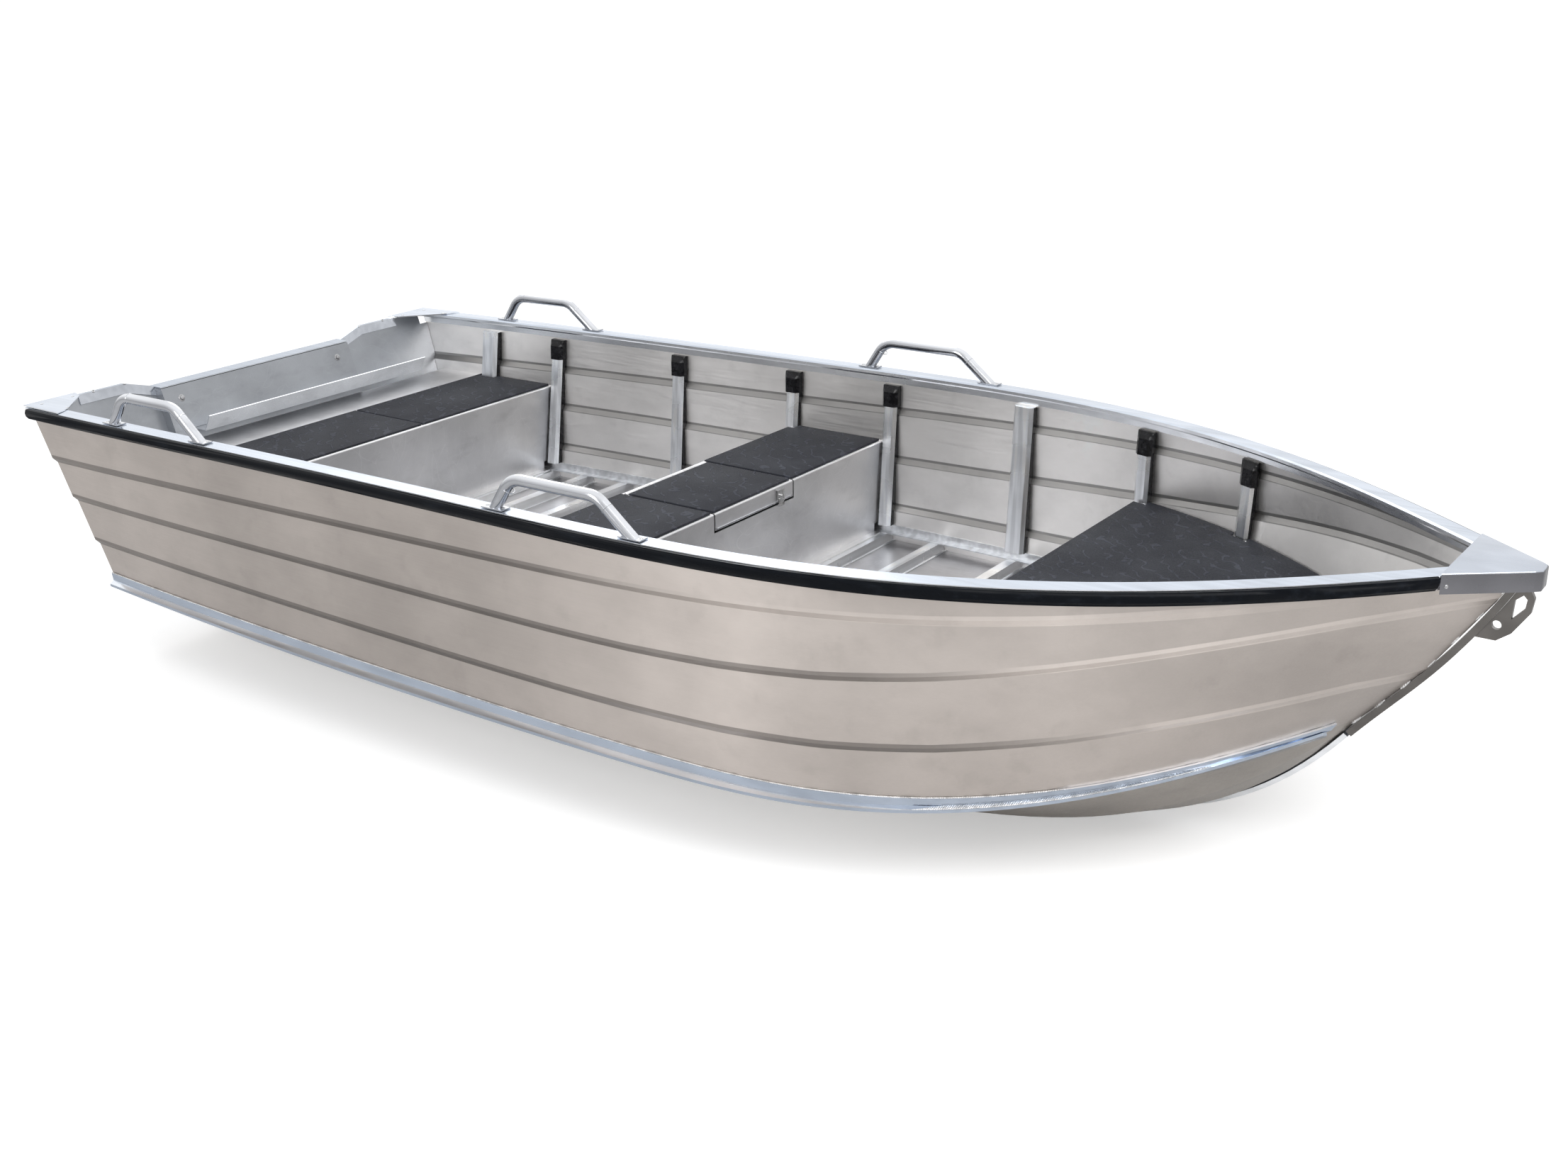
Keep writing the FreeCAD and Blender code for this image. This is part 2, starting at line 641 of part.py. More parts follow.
def runner(side_sign):
    """A welded strip under the bottom, level with the keel bar's underside."""
    outlines = []
    half = size("RunnerWidth") / 2
    for share in RUNNER_SHARES:
        x = mix(size("RunnerStart"), size("RunnerEnd"), share)
        y = size("RunnerOffset")
        near, far = outer_height(x, y - half) - gap, outer_height(x, y + half) - gap
        outlines.append([
            Vector(x, side_sign * (y - half), near), Vector(x, side_sign * (y + half), far),
            Vector(x, side_sign * (y + half * TAPER_SHARE), 0),
            Vector(x, side_sign * (y - half * TAPER_SHARE), 0)])
    return loft(outlines)


def outer_height(x, y):
    """Height of the bottom plate's outer surface at one place along and across the boat."""
    points = sorted(section(outer_bottom_lines, x), key=lambda point: point.y)
    for near, far in zip(points, points[1:]):
        if near.y <= y <= far.y:
            return mix(near.z, far.z, (y - near.y) / (far.y - near.y))
    return points[-1].z


RUNNER_SHARES = [0, 0.17, 0.33, 0.5, 0.67, 0.83, 1]
keep(from_shape("bottom_runners", Part.makeCompound([runner(1), runner(-1)])), "bottom_runners")


# The space inside the plates, by which sheets across the boat are trimmed
def crossing(a, b, c, d):
    """Where two straight lines meet, seen along the boat."""
    first, second = b - a, d - c
    across = first.y * second.z - first.z * second.y
    share = ((c.y - a.y) * second.z - (c.z - a.z) * second.y) / across
    return a + first * share


def hull_room(name, clearance, count):
    side_lines = hull_lines(lambda index: offset_inward(side_outline(index), skin + clearance), SIDE_COUNT)
    low_lines = hull_lines(lambda index: offset_inward(bottom_outline(index), skin + clearance), BOTTOM_COUNT)
    outlines = []
    for share in STATION_SHARES[:count]:
        side = [line.curve.value(float(share)) for line in side_lines]
        low = [line.curve.value(float(share)) for line in low_lines]
        port = side[:-1] + [crossing(side[-2], side[-1], low[0], low[1])] + low[1:]
        port = [Vector(p.x, max(p.y, gap), p.z) for p in port]
        outlines.append(port + [Vector(p.x, -p.y, p.z) for p in reversed(port)])
    return from_shape(name, skinned(outlines, [float(s) for s in STATION_SHARES[:count]], end="sheet"))


room = hull_room("hull_room", size("SideGap"), len(STATION_SHARES))
mat_room = hull_room("mat_room", size("MatMargin"), len(STATION_SHARES) - 1)

# Transom: a raked plate inside the ends of the bottom and side plates
sheer_high = sheer_points[0].z
rake = math.atan2(size("TransomRun"), sheer_high - chine_points[0].z)
top_z = sheer_high - size("TopClearance")
cut_z = top_z - size("TransomCut")
half_pad = size("PadWidth") / 2
half_shoulder = half_pad + size("TransomShoulder")
plate_thick = size("TransomThickness")
pad_thick = size("PadThickness")
rake_normal = Vector(math.cos(rake), 0, math.sin(rake))
# The same rake in the sizes' names: run for each unit of height, and run for each unit of thickness
SHEER_HIGH = "BowHeight * %s" % SHEER_HEIGHT_SHARES[0]
RAKE = "(TransomRun / (%s - StemFootHeight * %s))" % (SHEER_HIGH, CHINE_HEIGHT_SHARES[0])
ACROSS = "sqrt(1 + %s ^ 2)" % RAKE


def transom_x(z):
    return (sheer_high - z) * math.tan(rake)


def transom_run(height, forward="0"):
    """The same place along the boat as an expression, a distance forward of the plate's aft face."""
    return "((%s - (%s)) * %s + (%s) * %s)" % (SHEER_HIGH, height, RAKE, forward, ACROSS)


def square_to_transom(height, forward):
    """The place along and up that lies square off the plate's aft face at that height."""
    along = "%s + (%s) / %s" % (transom_run(height), forward, ACROSS)
    return along, "%s + (%s) * %s / %s" % (height, forward, RAKE, ACROSS)


def polygon_face(points):
    return Part.Face(Part.makePolygon(list(points) + [points[0]]))


def transom_outline(inset):
    half = []
    for line in inner_side_lines[:-1]:
        point = line.curve.value(0.0)
        half.append(Vector(transom_x(point.z), point.y - inset, point.z))
    lower = [line.curve.value(0.0) for line in inner_bottom_lines]
    half.append(Vector(transom_x(lower[0].z + inset), lower[0].y - inset * 2, lower[0].z + inset))
    half += [Vector(transom_x(point.z + inset), point.y, point.z + inset) for point in lower[1:]]
    crown = [Vector(transom_x(cut_z), half_pad, cut_z), Vector(transom_x(top_z), half_shoulder, top_z)]
    port = crown + half
    return port + [Vector(point.x, -point.y, point.z) for point in reversed(port)]


transom = polygon_face(transom_outline(2 * gap)).extrude(rake_normal * plate_thick)
drain_z = keel_points[0].z + size("DrainRise")
drain_spot = Vector(transom_x(drain_z), size("DrainSide"), drain_z)
over = size("Overrun")
drain_hole = Part.makeCylinder(size("DrainRadius"), over, drain_spot - rake_normal * (over / 2), rake_normal)
transom = transom.cut(drain_hole)
corner_low = sheer_high + size("TopClearance") - size("RailBand") - size("CornerPlay")
corner_near = sheer_points[0].y - size("RailInside") - size("CornerPlay")
for low_y in (corner_near, -corner_near - size("HalfBeam")):
    transom = transom.cut(Part.makeBox(size("TransomRun"), size("HalfBeam"), size("BowHeight"),
                                       Vector(-size("CornerPlate"), low_y, corner_low)))
keep(from_shape("transom_plate", transom), "transom_plate")

# Engine boards on both faces of the transom, level with its lowered edge. The inner one is
# rebated from the tray downwards, so that the tray lies against the thinner part.
BOARD_TOP = "(%s - TopClearance - TransomCut)" % SHEER_HIGH
BOARD_LOW = "(%s - PadHeight)" % BOARD_TOP
OVER_TRAY = "(TrayLevel + TrayWall + 2 * SeatGap)"
PAD_FRONT = "TransomThickness + SeatGap + PadThickness"
for name, back, front, rebate in (("engine_pad_outer", "-SeatGap - PadOuterThickness", "-SeatGap", ""),
                                  ("engine_pad_inner", "TransomThickness + SeatGap", PAD_FRONT, " - PadRebate")):
    lower = front + rebate
    step = [(transom_run(OVER_TRAY, place), OVER_TRAY) for place in (lower, front)] if rebate else []
    board = profile_body(name, [
        square_to_transom(BOARD_LOW, back), square_to_transom(BOARD_LOW, lower),
    ] + step + [
        (transom_run(BOARD_TOP, front), BOARD_TOP), (transom_run(BOARD_TOP, back), BOARD_TOP),
    ], "PadWidth - 2 * SeatGap")
    middle = board.Shape.BoundBox.Center.z
    rounded(board, "PadCorner", lambda edge: edge.BoundBox.YLength < gap and edge.BoundBox.ZMax < middle)
    keep(board, name)


def transom_rail():
    """A channel over the transom's shoulders, and a flat cap over the boards between them."""
    half_end = sheer_points[0].y - size("CornerPlate")
    wall = size("TopRailWall")
    legs = size("RailLegs")
    seat = plate_thick * math.sin(rake) + gap

    def place(y, z, run, rise):
        return Vector(transom_x(z + rise) + run, y, z + rise)

    def channel(y, z):
        aft, fore = -2 * gap, (plate_thick + 2 * gap) / math.cos(rake)
        corners = [(aft - wall, -legs), (aft, -legs), (aft, seat), (fore, seat), (fore, -legs),
                   (fore + wall, -legs), (fore + wall, seat + wall), (aft - wall, seat + wall)]
        return Part.makePolygon([place(y, z, run, rise) for run, rise in corners + corners[:1]])

    pieces = []
    for sign in (1, -1):
        ends = [(sign * half_pad, cut_z), (sign * half_shoulder, top_z), (sign * half_end, top_z)]
        for low, high in zip(ends, ends[1:]):
            pieces.append(Part.makeLoft([channel(*low), channel(*high)], True, True))
    back = -(gap + size("PadOuterThickness")) / math.cos(rake)
    front = (plate_thick + gap + pad_thick) / math.cos(rake)
    cap = [(back, seat), (front, seat), (front, seat + wall), (back, seat + wall)]
    cap_face = polygon_face([place(-half_pad, cut_z, run, rise) for run, rise in cap])
    pieces.append(cap_face.extrude(Vector(0, 2 * half_pad, 0)))
    return pieces[0].multiFuse(pieces[1:]).removeSplitter()


keep(from_shape("transom_top_rail", transom_rail()), "transom_top_rail")

CORNER_OUTLINE_SHARES = [(0.9, -0.27), (0.25, -1.05), (0, -1.15)]


def corner_plate():
    """A gusset over the corner of gunwale and transom."""
    outer = sheer_points[0].y + size("RailOutside")
    leg = size("CornerPlate")
    rise = (outer_side_lines[0].at(leg).z - outer_side_lines[0].at(0).z) / leg
    level = sheer_high + gap
    overhang = size("CornerOverhang")
    places = [(-overhang, outer - size("RailEdge")), (leg, outer + size("RailEdge"))]
    places += [(leg * along - overhang * (1 - along), outer + leg * across)
               for along, across in CORNER_OUTLINE_SHARES]
    outline = polygon_face([Vector(x, y, level + rise * x) for x, y in places])
    return outline.extrude(Vector(0, 0, size("CornerWall")))


keep_pair(from_shape("transom_corner", corner_plate()), "transom_corner")


# Side frames: a hat section up each side with a moulded cap on its upper end
def side_strip(x, width, depth, z_low, z_high, lift, shoulder=None, crown=0):
    """Outlines across a bar that stands against the side's inner face between two heights.
    Its edges are shallower than its middle, and its inner face can lean back below the top."""
    seams = [k for k, p in enumerate(section(inner_side_lines, x))
             if z_low + size("SkinThickness") < p.z < z_high - size("SkinThickness")]
    chamfer = size("FrameChamfer")
    shoulder = depth if shoulder is None else shoulder
    stops = [(-width / 2, shoulder), (chamfer - width / 2, depth),
             (width / 2 - chamfer, depth), (width / 2, shoulder)]
    outlines = []
    for across, reach in stops:
        spot = x + across
        lines = section(inner_side_lines, spot)
        near = [Vector(spot, breadth(inner_side_lines, spot, z_low), z_low)]
        near += [lines[k] for k in reversed(seams)]
        near.append(Vector(spot, breadth(inner_side_lines, spot, z_high), z_high))
        near = [p - Vector(0, lift, 0) for p in near]
        top_reach = shoulder * TAPER_SHARE if crown else reach
        far = [Vector(spot, near[-1].y - top_reach, z_high)]
        if crown:
            leaned = breadth(inner_side_lines, spot, z_high - crown) - lift - reach
            far.append(Vector(spot, leaned, z_high - crown))
        far.append(Vector(spot, near[0].y - reach, z_low))
        outlines.append(near + far)
    return outlines


def strip_solid(outlines):
    return Part.makeLoft([Part.makePolygon(points + points[:1]) for points in outlines], True, True)


def both_sides(shapes):
    return Part.makeCompound(shapes + [mirrored(shape) for shape in shapes])


angle_top = size("FloorLevel") + size("FloorAngleLeg") + 2 * gap
on_seat = size("SeatHeight") + gap
on_platform = size("PlatformHeight") + gap
frames = []
caps = []
mat_notches = []
for name, low in (("FrameAft", on_seat), ("FrameOne", angle_top),
                  ("FrameTwo", angle_top), ("FrameThree", on_seat),
                  ("FrameFour", angle_top), ("FrameFive", angle_top), ("FrameSix", on_platform),
                  ("FrameSeven", on_platform)):
    x = size(name)
    capped = name not in ("FrameAft", "FrameFive")
    width = size("FrameWidth") if capped else size("WideFrame")
    rail_under = outer_side_lines[0].at(x).z + top - size("RailBand") - size("CapUnder")
    high = rail_under - size("CapHeight") - gap if capped else rail_under
    frames.append(strip_solid(side_strip(x, width, size("FrameDepth"), low, high, size("FrameLift"),
                                         size("FrameShoulder"))))
    if capped:
        caps.append(strip_solid(side_strip(
            x, width + 2 * size("CapSkin"), size("FrameDepth") + size("CapSkin"),
            high + gap, rail_under, 4 * gap,
            size("FrameShoulder") + size("CapSkin"), size("CapCrown"))))
    if low != angle_top:
        play = size("MatSeam")
        mat_notches.append(strip_solid(side_strip(
            x, width + 2 * play, size("FrameDepth") + size("SkinThickness") + 4 * play,
            low - over, low + over,
            -size("SkinThickness"))))
keep_pair(from_shape("side_frames", Part.makeCompound(frames)), "side_frames")
keep_pair(from_shape("frame_caps", Part.makeCompound(caps)), "frame_caps")
notches = from_shape("mat_notches", both_sides(mat_notches))

# Floor: a sheet across the hull, hat-section ribs on it and an angle along each side
RIB_LOW = "FloorLevel - RibHeight"


def rib(name):
    half = [("RibFoot", RIB_LOW), ("RibFoot", RIB_LOW + " + RibFlange"),
            ("RibShoulder", RIB_LOW + " + RibFlange"),
            ("RibTop", "FloorLevel")]
    right = [("%s + %s / 2" % (name, wide), high) for wide, high in half]
    left = [("%s - %s / 2" % (name, wide), high) for wide, high in reversed(half)]
    return profile_body(name + "_section", right + left, "2 * HalfBeam")


COUNTS = ("One", "Two", "Three", "Four", "Five", "Six", "Seven", "Eight", "Nine")
ribs = [rib("Rib" + count) for count in COUNTS]
keep(combined("Common", "floor_ribs", gathered("rib_sections", ribs), room), "floor_ribs")

floor = profile_body("floor_section", [
    ("FloorStart", RIB_LOW + " - SeatGap - FloorWall"), ("FloorEnd", RIB_LOW + " - SeatGap - FloorWall"),
    ("FloorEnd", RIB_LOW + " - SeatGap"), ("FloorStart", RIB_LOW + " - SeatGap")], "2 * HalfBeam")
keep(combined("Common", "floor_sheet", floor, room), "floor_sheet")

ANGLE_SHARES = [index / 18 for index in range(19)]


def side_angle(room_play):
    """An angle strip along the foot of the side plate, or the room that a sheet leaves round it."""
    outlines = []
    level = size("FloorLevel") + gap
    leg = size("FloorAngleLeg")
    thick = size("FloorAngleWall")
    for share in ANGLE_SHARES:
        x = mix(size("FloorAngleStart"), size("FloorAngleEnd"), share)
        low = inner_breadth(x, level) - 2 * gap
        high = inner_breadth(x, level + leg) - 2 * gap
        if room_play:
            outlines.append([Vector(x, high + leg, level - room_play),
                             Vector(x, high + leg, level + leg + room_play),
                             Vector(x, low - leg - room_play, level + leg + room_play),
                             Vector(x, low - leg - room_play, level - room_play)])
        else:
            outlines.append([Vector(x, low, level), Vector(x, high, level + leg),
                             Vector(x, high - thick, level + leg),
                             Vector(x, low - thick, level + thick), Vector(x, low - leg, level + thick),
                             Vector(x, low - leg, level)])
    return loft(outlines)


keep_pair(from_shape("floor_angle", side_angle(0)), "floor_angle")
angle_room = from_shape("angle_room", both_sides([side_angle(size("NotchPlay"))]))

# Thwarts: bent sheets from side to side that stand on the ribs
FOOT = "FloorLevel + SeatGap"
UNDER = "SeatHeight - SeatWall"
stern_aft = transom_run("SeatHeight", "TransomThickness + 2 * SeatGap + PadThickness") + " + SternSeatPlay"
stern = profile_body("stern_section", [
    (stern_aft, UNDER), ("SternSeatFront - SeatWall", UNDER), ("SternSeatFront - SeatWall", FOOT),
    ("SternSeatFront + SeatFlange", FOOT), ("SternSeatFront + SeatFlange", FOOT + " + SeatWall"),
    ("SternSeatFront", FOOT + " + SeatWall"), ("SternSeatFront", "SeatHeight"), (stern_aft, "SeatHeight"),
], "2 * HalfBeam")
rounded(stern, "BendRadius", bend_at(("SternSeatFront", "SeatHeight")))
stern = combined("Common", "stern_trimmed", stern, room)
keep(combined("Cut", "stern_thwart", stern, angle_room), "stern_thwart")

centre = profile_body("centre_section", [
    ("CentreSeatAft - SeatFlange", FOOT), ("CentreSeatAft + SeatWall", FOOT),
    ("CentreSeatAft + SeatWall", UNDER),
    ("CentreSeatFront - SeatWall", UNDER), ("CentreSeatFront - SeatWall", FOOT),
    ("CentreSeatFront + SeatFlange", FOOT), ("CentreSeatFront + SeatFlange", FOOT + " + SeatWall"),
    ("CentreSeatFront", FOOT + " + SeatWall"), ("CentreSeatFront", "SeatHeight"),
    ("CentreSeatAft", "SeatHeight"),
    ("CentreSeatAft", FOOT + " + SeatWall"), ("CentreSeatAft - SeatFlange", FOOT + " + SeatWall"),
], "2 * HalfBeam")
rounded(centre, "BendRadius", bend_at(("CentreSeatFront", "SeatHeight"), ("CentreSeatAft", "SeatHeight")))
centre = combined("Common", "centre_trimmed", centre, room)
centre = combined("Cut", "centre_notched", centre, angle_room)
hatch_room = block("hatch_room", "HatchAft - HingeReach", "HatchStart - HatchGap",
                   "SeatHeight - HatchCutDepth",
                   "CentreSeatFront - HatchAft + Overrun", "HatchEnd - HatchStart + 2 * HatchGap", "Overrun")
keep(combined("Cut", "centre_thwart", centre, hatch_room), "centre_thwart")


# Foam mats, cut clear of the sides and of the frames' feet
def mat(name, x_aft, x_front, y_low, y_high, level="SeatHeight"):
    return block(name, x_aft, y_low, level + " + SeatGap", "%s - (%s)" % (x_front, x_aft),
                 "%s - (%s)" % (y_high, y_low), "MatThickness")


def mats(name, pieces):
    trimmed = combined("Common", name + "_trimmed", gathered(name + "_blanks", pieces), mat_room)
    keep(combined("Cut", name, trimmed, notches), name)


stern_mat_aft = "SternSeatFront - MatMargin - SternMatDepth"
mats("stern_thwart_mats", [
    mat("stern_mat_starboard", stern_mat_aft, "SternSeatFront - MatMargin",
        "-HalfBeam", "SternMatSeam - MatSeam"),
    mat("stern_mat_port", stern_mat_aft, "SternSeatFront - MatMargin", "SternMatSeam + MatSeam", "HalfBeam")])
mats("centre_thwart_mats", [
    mat("centre_mat_starboard", "CentreSeatAft + MatMargin", "CentreSeatFront - MatMargin", "-HalfBeam",
        "HatchStart - HatchGap - MatSeam"),
    mat("centre_mat_port", "CentreSeatAft + MatMargin", "CentreSeatFront - MatMargin",
        "HatchEnd + HatchGap + MatSeam", "HalfBeam")])

# Hatch lid with its turned front edge, hinged along its aft edge
lid = profile_body("lid_section", [
    ("HatchAft + HingeReach", UNDER), ("CentreSeatFront - SeatWall", UNDER),
    ("CentreSeatFront - SeatWall", "SeatHeight - HatchFlange"),
    ("CentreSeatFront", "SeatHeight - HatchFlange"),
    ("CentreSeatFront", "SeatHeight"), ("HatchAft + HingeReach", "SeatHeight")], "HatchEnd - HatchStart")
rounded(lid, "BendRadius", bend_at(("CentreSeatFront", "SeatHeight")))
bind(lid, Placement_Base_y="(HatchStart + HatchEnd) / 2")

KNUCKLES = 7
PITCH = "(HatchEnd - HatchStart) / %d" % KNUCKLES
PIN_HIGH = "SeatHeight - SeatWall / 2"
lid_pieces = [lid]
hinge_pieces = [rod("hinge_pin", "HatchAft", "HatchStart", PIN_HIGH, ALONG_Y, "HingePinRadius",
                    "HatchEnd - HatchStart")]
for number in range(KNUCKLES):
    on_lid = number % 2 == 0
    start = "HatchStart + %s * %d + KnuckleGap" % (PITCH, number)
    length = "%s - 2 * KnuckleGap" % PITCH
    knuckle = rod("knuckle_%d" % number, "HatchAft", start, PIN_HIGH, ALONG_Y, "HingeKnuckleRadius", length)
    web_aft = "HatchAft" if on_lid else "HatchAft - HingeReach"
    web = block("knuckle_web_%d" % number, web_aft, start, UNDER, "HingeReach", length, "SeatWall")
    (lid_pieces if on_lid else hinge_pieces).extend([knuckle, web])
pin_room = rod("pin_room", "HatchAft", "HatchStart - KnuckleGap", PIN_HIGH, ALONG_Y, "HingePinRadius + HingePlay",
               "HatchEnd - HatchStart + 2 * KnuckleGap")
keep(combined("Cut", "hatch_lid", joined("lid_with_knuckles", lid_pieces), pin_room), "hatch_lid")
keep(joined("hatch_hinge", hinge_pieces), "hatch_hinge")
hatch_foam = mat("hatch_foam", "HatchAft + MatMargin", "CentreSeatFront - MatMargin", "HatchStart + MatSeam",
                 "HatchEnd - MatSeam")
keep(gathered("hatch_mat", [hatch_foam]), "hatch_mat")
latch_plate = block("latch_plate", "CentreSeatFront + SeatGap", "LatchSide - LatchWidth / 2",
                    "SeatHeight - LatchDrop - LatchHeight", "LatchThickness", "LatchWidth", "LatchHeight")
latch_knob = rod("latch_knob", "CentreSeatFront + SeatGap", "LatchSide",
                 "SeatHeight - LatchDrop - LatchHeight / 2",
                 ALONG_X, "LatchKnob", "LatchKnobReach")
keep(joined("hatch_latch", [latch_plate, latch_knob]), "hatch_latch")

# Locker under the hatch: a tub whose front wall is low, behind the notch for the lid's edge
locker_wide = "HatchEnd - HatchStart + 2 * HatchGap"
locker_aft = "HatchAft + LockerWall"
locker_long = "CentreSeatFront - SeatWall - SeatGap - (%s)" % locker_aft
locker_tub = block("locker_tub", locker_aft, "HatchStart - HatchGap - LockerWall", "LockerLow", locker_long,
                   locker_wide + " + 2 * LockerWall", "SeatHeight - SeatWall - SeatGap - LockerLow")
locker_hollow = block("locker_hollow", locker_aft + " + LockerWall", "HatchStart - HatchGap",
                      "LockerLow + LockerWall",
                      locker_long + " - 2 * LockerWall", locker_wide, "SeatHeight")
low_front = block("locker_low_front", "CentreSeatFront - Overrun / 2", "HatchStart - HatchGap - LockerWall",
                  "SeatHeight - HatchCutDepth - SeatGap", "Overrun", locker_wide + " + 2 * LockerWall", "SeatHeight")
low_aft = block("locker_low_aft", locker_aft + " - Overrun / 4", "HatchStart - HatchGap - LockerWall",
                "SeatHeight - LockerAftDrop", "Overrun / 2", locker_wide + " + 2 * LockerWall", "SeatHeight")
locker = combined("Cut", "locker_open", locker_tub, locker_hollow)
locker = combined("Cut", "locker_front_cut", locker, low_front)
keep(combined("Cut", "hatch_locker", locker, low_aft), "hatch_locker")

# Bow platform: a level sheet that narrows with the hull, with a turned aft edge
DECK_UNDER = "PlatformHeight - SeatWall"
deck = profile_body("platform_section", [
    ("PlatformAft", "PlatformHeight - PlatformLip"),
    ("PlatformAft + SeatWall", "PlatformHeight - PlatformLip"),
    ("PlatformAft + SeatWall", DECK_UNDER), ("PlatformEnd", DECK_UNDER), ("PlatformEnd", "PlatformHeight"),
    ("PlatformAft", "PlatformHeight")], "2 * HalfBeam")
rounded(deck, "BendRadius", bend_at(("PlatformAft", "PlatformHeight")))
keep(combined("Common", "bow_platform", deck, room), "bow_platform")
mats("bow_platform_mat", [
    mat("platform_mat_blank", "PlatformAft + MatMargin", "PlatformEnd - 3 * MatMargin",
        "-HalfBeam", "HalfBeam", "PlatformHeight")])

# Bow cap over the ends of both rails
cap_aft = size("CapStart")
cap_nose = size("CapNose")
cap_wall = size("CapWall")
cap_top = outer_side_lines[0].at(rail_end).z + top + 2 * gap


def cap_prism(shrink, low, high, nose):
    share = (cap_aft - outer_side_lines[0].start) / (outer_side_lines[0].end - outer_side_lines[0].start)
    wide = sheer_frame(share)[0].y + size("RailOutside") + cap_wall + size("CapSpread") - shrink
    tip = size("CapNoseHalfWidth") - shrink
    corner = size("CapCorner")
    points = [Vector(cap_aft, wide, low), Vector(nose - corner, tip + corner / 3, low),
              Vector(nose, tip - corner * 2 / 3, low)]
    points += [Vector(p.x, -p.y, p.z) for p in reversed(points)]
    return polygon_face(points).extrude(Vector(0, 0, high - low))


cap_low = cap_top + cap_wall - size("CapFlange")
cap = cap_prism(0, cap_low, cap_top + cap_wall, cap_nose)
cap = cap.cut(cap_prism(cap_wall, cap_low - over, cap_top, cap_nose - cap_wall))
open_corner = Vector(cap_aft - over, -size("HalfBeam") / 2, cap_top - over)
open_end = Part.makeBox(over, size("HalfBeam"), over, open_corner)
keep(from_shape("bow_cap", cap.cut(open_end)), "bow_cap")

# Bow eye: a plate on the stem with a round hole for a shackle and a slot for a rope
EYE_OUTLINE_SHARES = [(0.343, 0), (0.636, 0.18), (0.96, 0.59), (1, 0.852), (0.9, 1)]
EYE_SLOT_SHARES = [(0.596, 0.426), (0.838, 0.656), (0.859, 0.82), (0.778, 0.885), (0.616, 0.77)]


def eye_place(along, up):
    return Vector(size("EyeBase") + size("EyeReach") * along, 0, size("EyeLow") + size("EyeHeight") * up)


def stem_inner(z):
    """Where the stem bar's inner face is at one height."""
    for low, high in zip(stem_line, stem_line[1:]):
        if low.z <= z <= high.z:
            return mix(low.x, high.x, (z - low.z) / (high.z - low.z))
    return stem_line[-1].x


root = [Vector(stem_inner(eye_place(0, up).z) + size("EyeRoot"), 0, eye_place(0, up).z) for up in (1, 0.5, 0)]
eye_face = polygon_face([eye_place(along, up) for along, up in EYE_OUTLINE_SHARES] + root)
slot_face = polygon_face([eye_place(along, up) for along, up in EYE_SLOT_SHARES])
eye_half = Vector(0, size("EyeThickness") / 2, 0)
eye_plate = eye_face.translated(eye_half * -1).extrude(eye_half * 2)
eye_plate = eye_plate.cut(slot_face.translated(eye_half * -2).extrude(eye_half * 4))
stem_room = centre_bar(stem_line, size("StemBarWidth"), size("StemBarDepth") + gap)
eye_hole = rod("eye_hole", "EyeHoleAlong", "-EyeThickness", "EyeHoleHeight", ALONG_Y, "EyeHoleRadius",
               "2 * EyeThickness")
eye = combined("Cut", "eye_seated", from_shape("eye_plate", eye_plate), from_shape("stem_room", stem_room))
keep(combined("Cut", "bow_eye", eye, eye_hole), "bow_eye")


# Grab handles: tubes bent to a long hoop, on foot plates along the rails
def bent_path(points, radius):
    """Straight runs joined by tangent arcs."""
    edges = []
    start = points[0]
    for before, corner, after in zip(points, points[1:], points[2:]):
        back = unit_along(before - corner)
        ahead = unit_along(after - corner)
        half = math.acos(max(-1, min(1, back.dot(ahead)))) / 2
        reach = radius / math.tan(half)
        middle = corner + unit_along(back + ahead) * (radius / math.sin(half) - radius)
        edges.append(Part.makeLine(start, corner + back * reach))
        edges.append(Part.Arc(corner + back * reach, middle, corner + ahead * reach).toShape())
        start = corner + ahead * reach
    edges.append(Part.makeLine(start, points[-1]))
    return Part.Wire(edges)


def foot_plate(centre, along, outward):
    long, wide = size("HandleFootLength") / 2, size("HandleFootWidth") / 2
    corners = [centre + along * long * a + outward * wide * b for a, b in ((-1, -1), (1, -1), (1, 1), (-1, 1))]
    return polygon_face(corners).extrude(Vector(0, 0, size("HandleFootWall")))


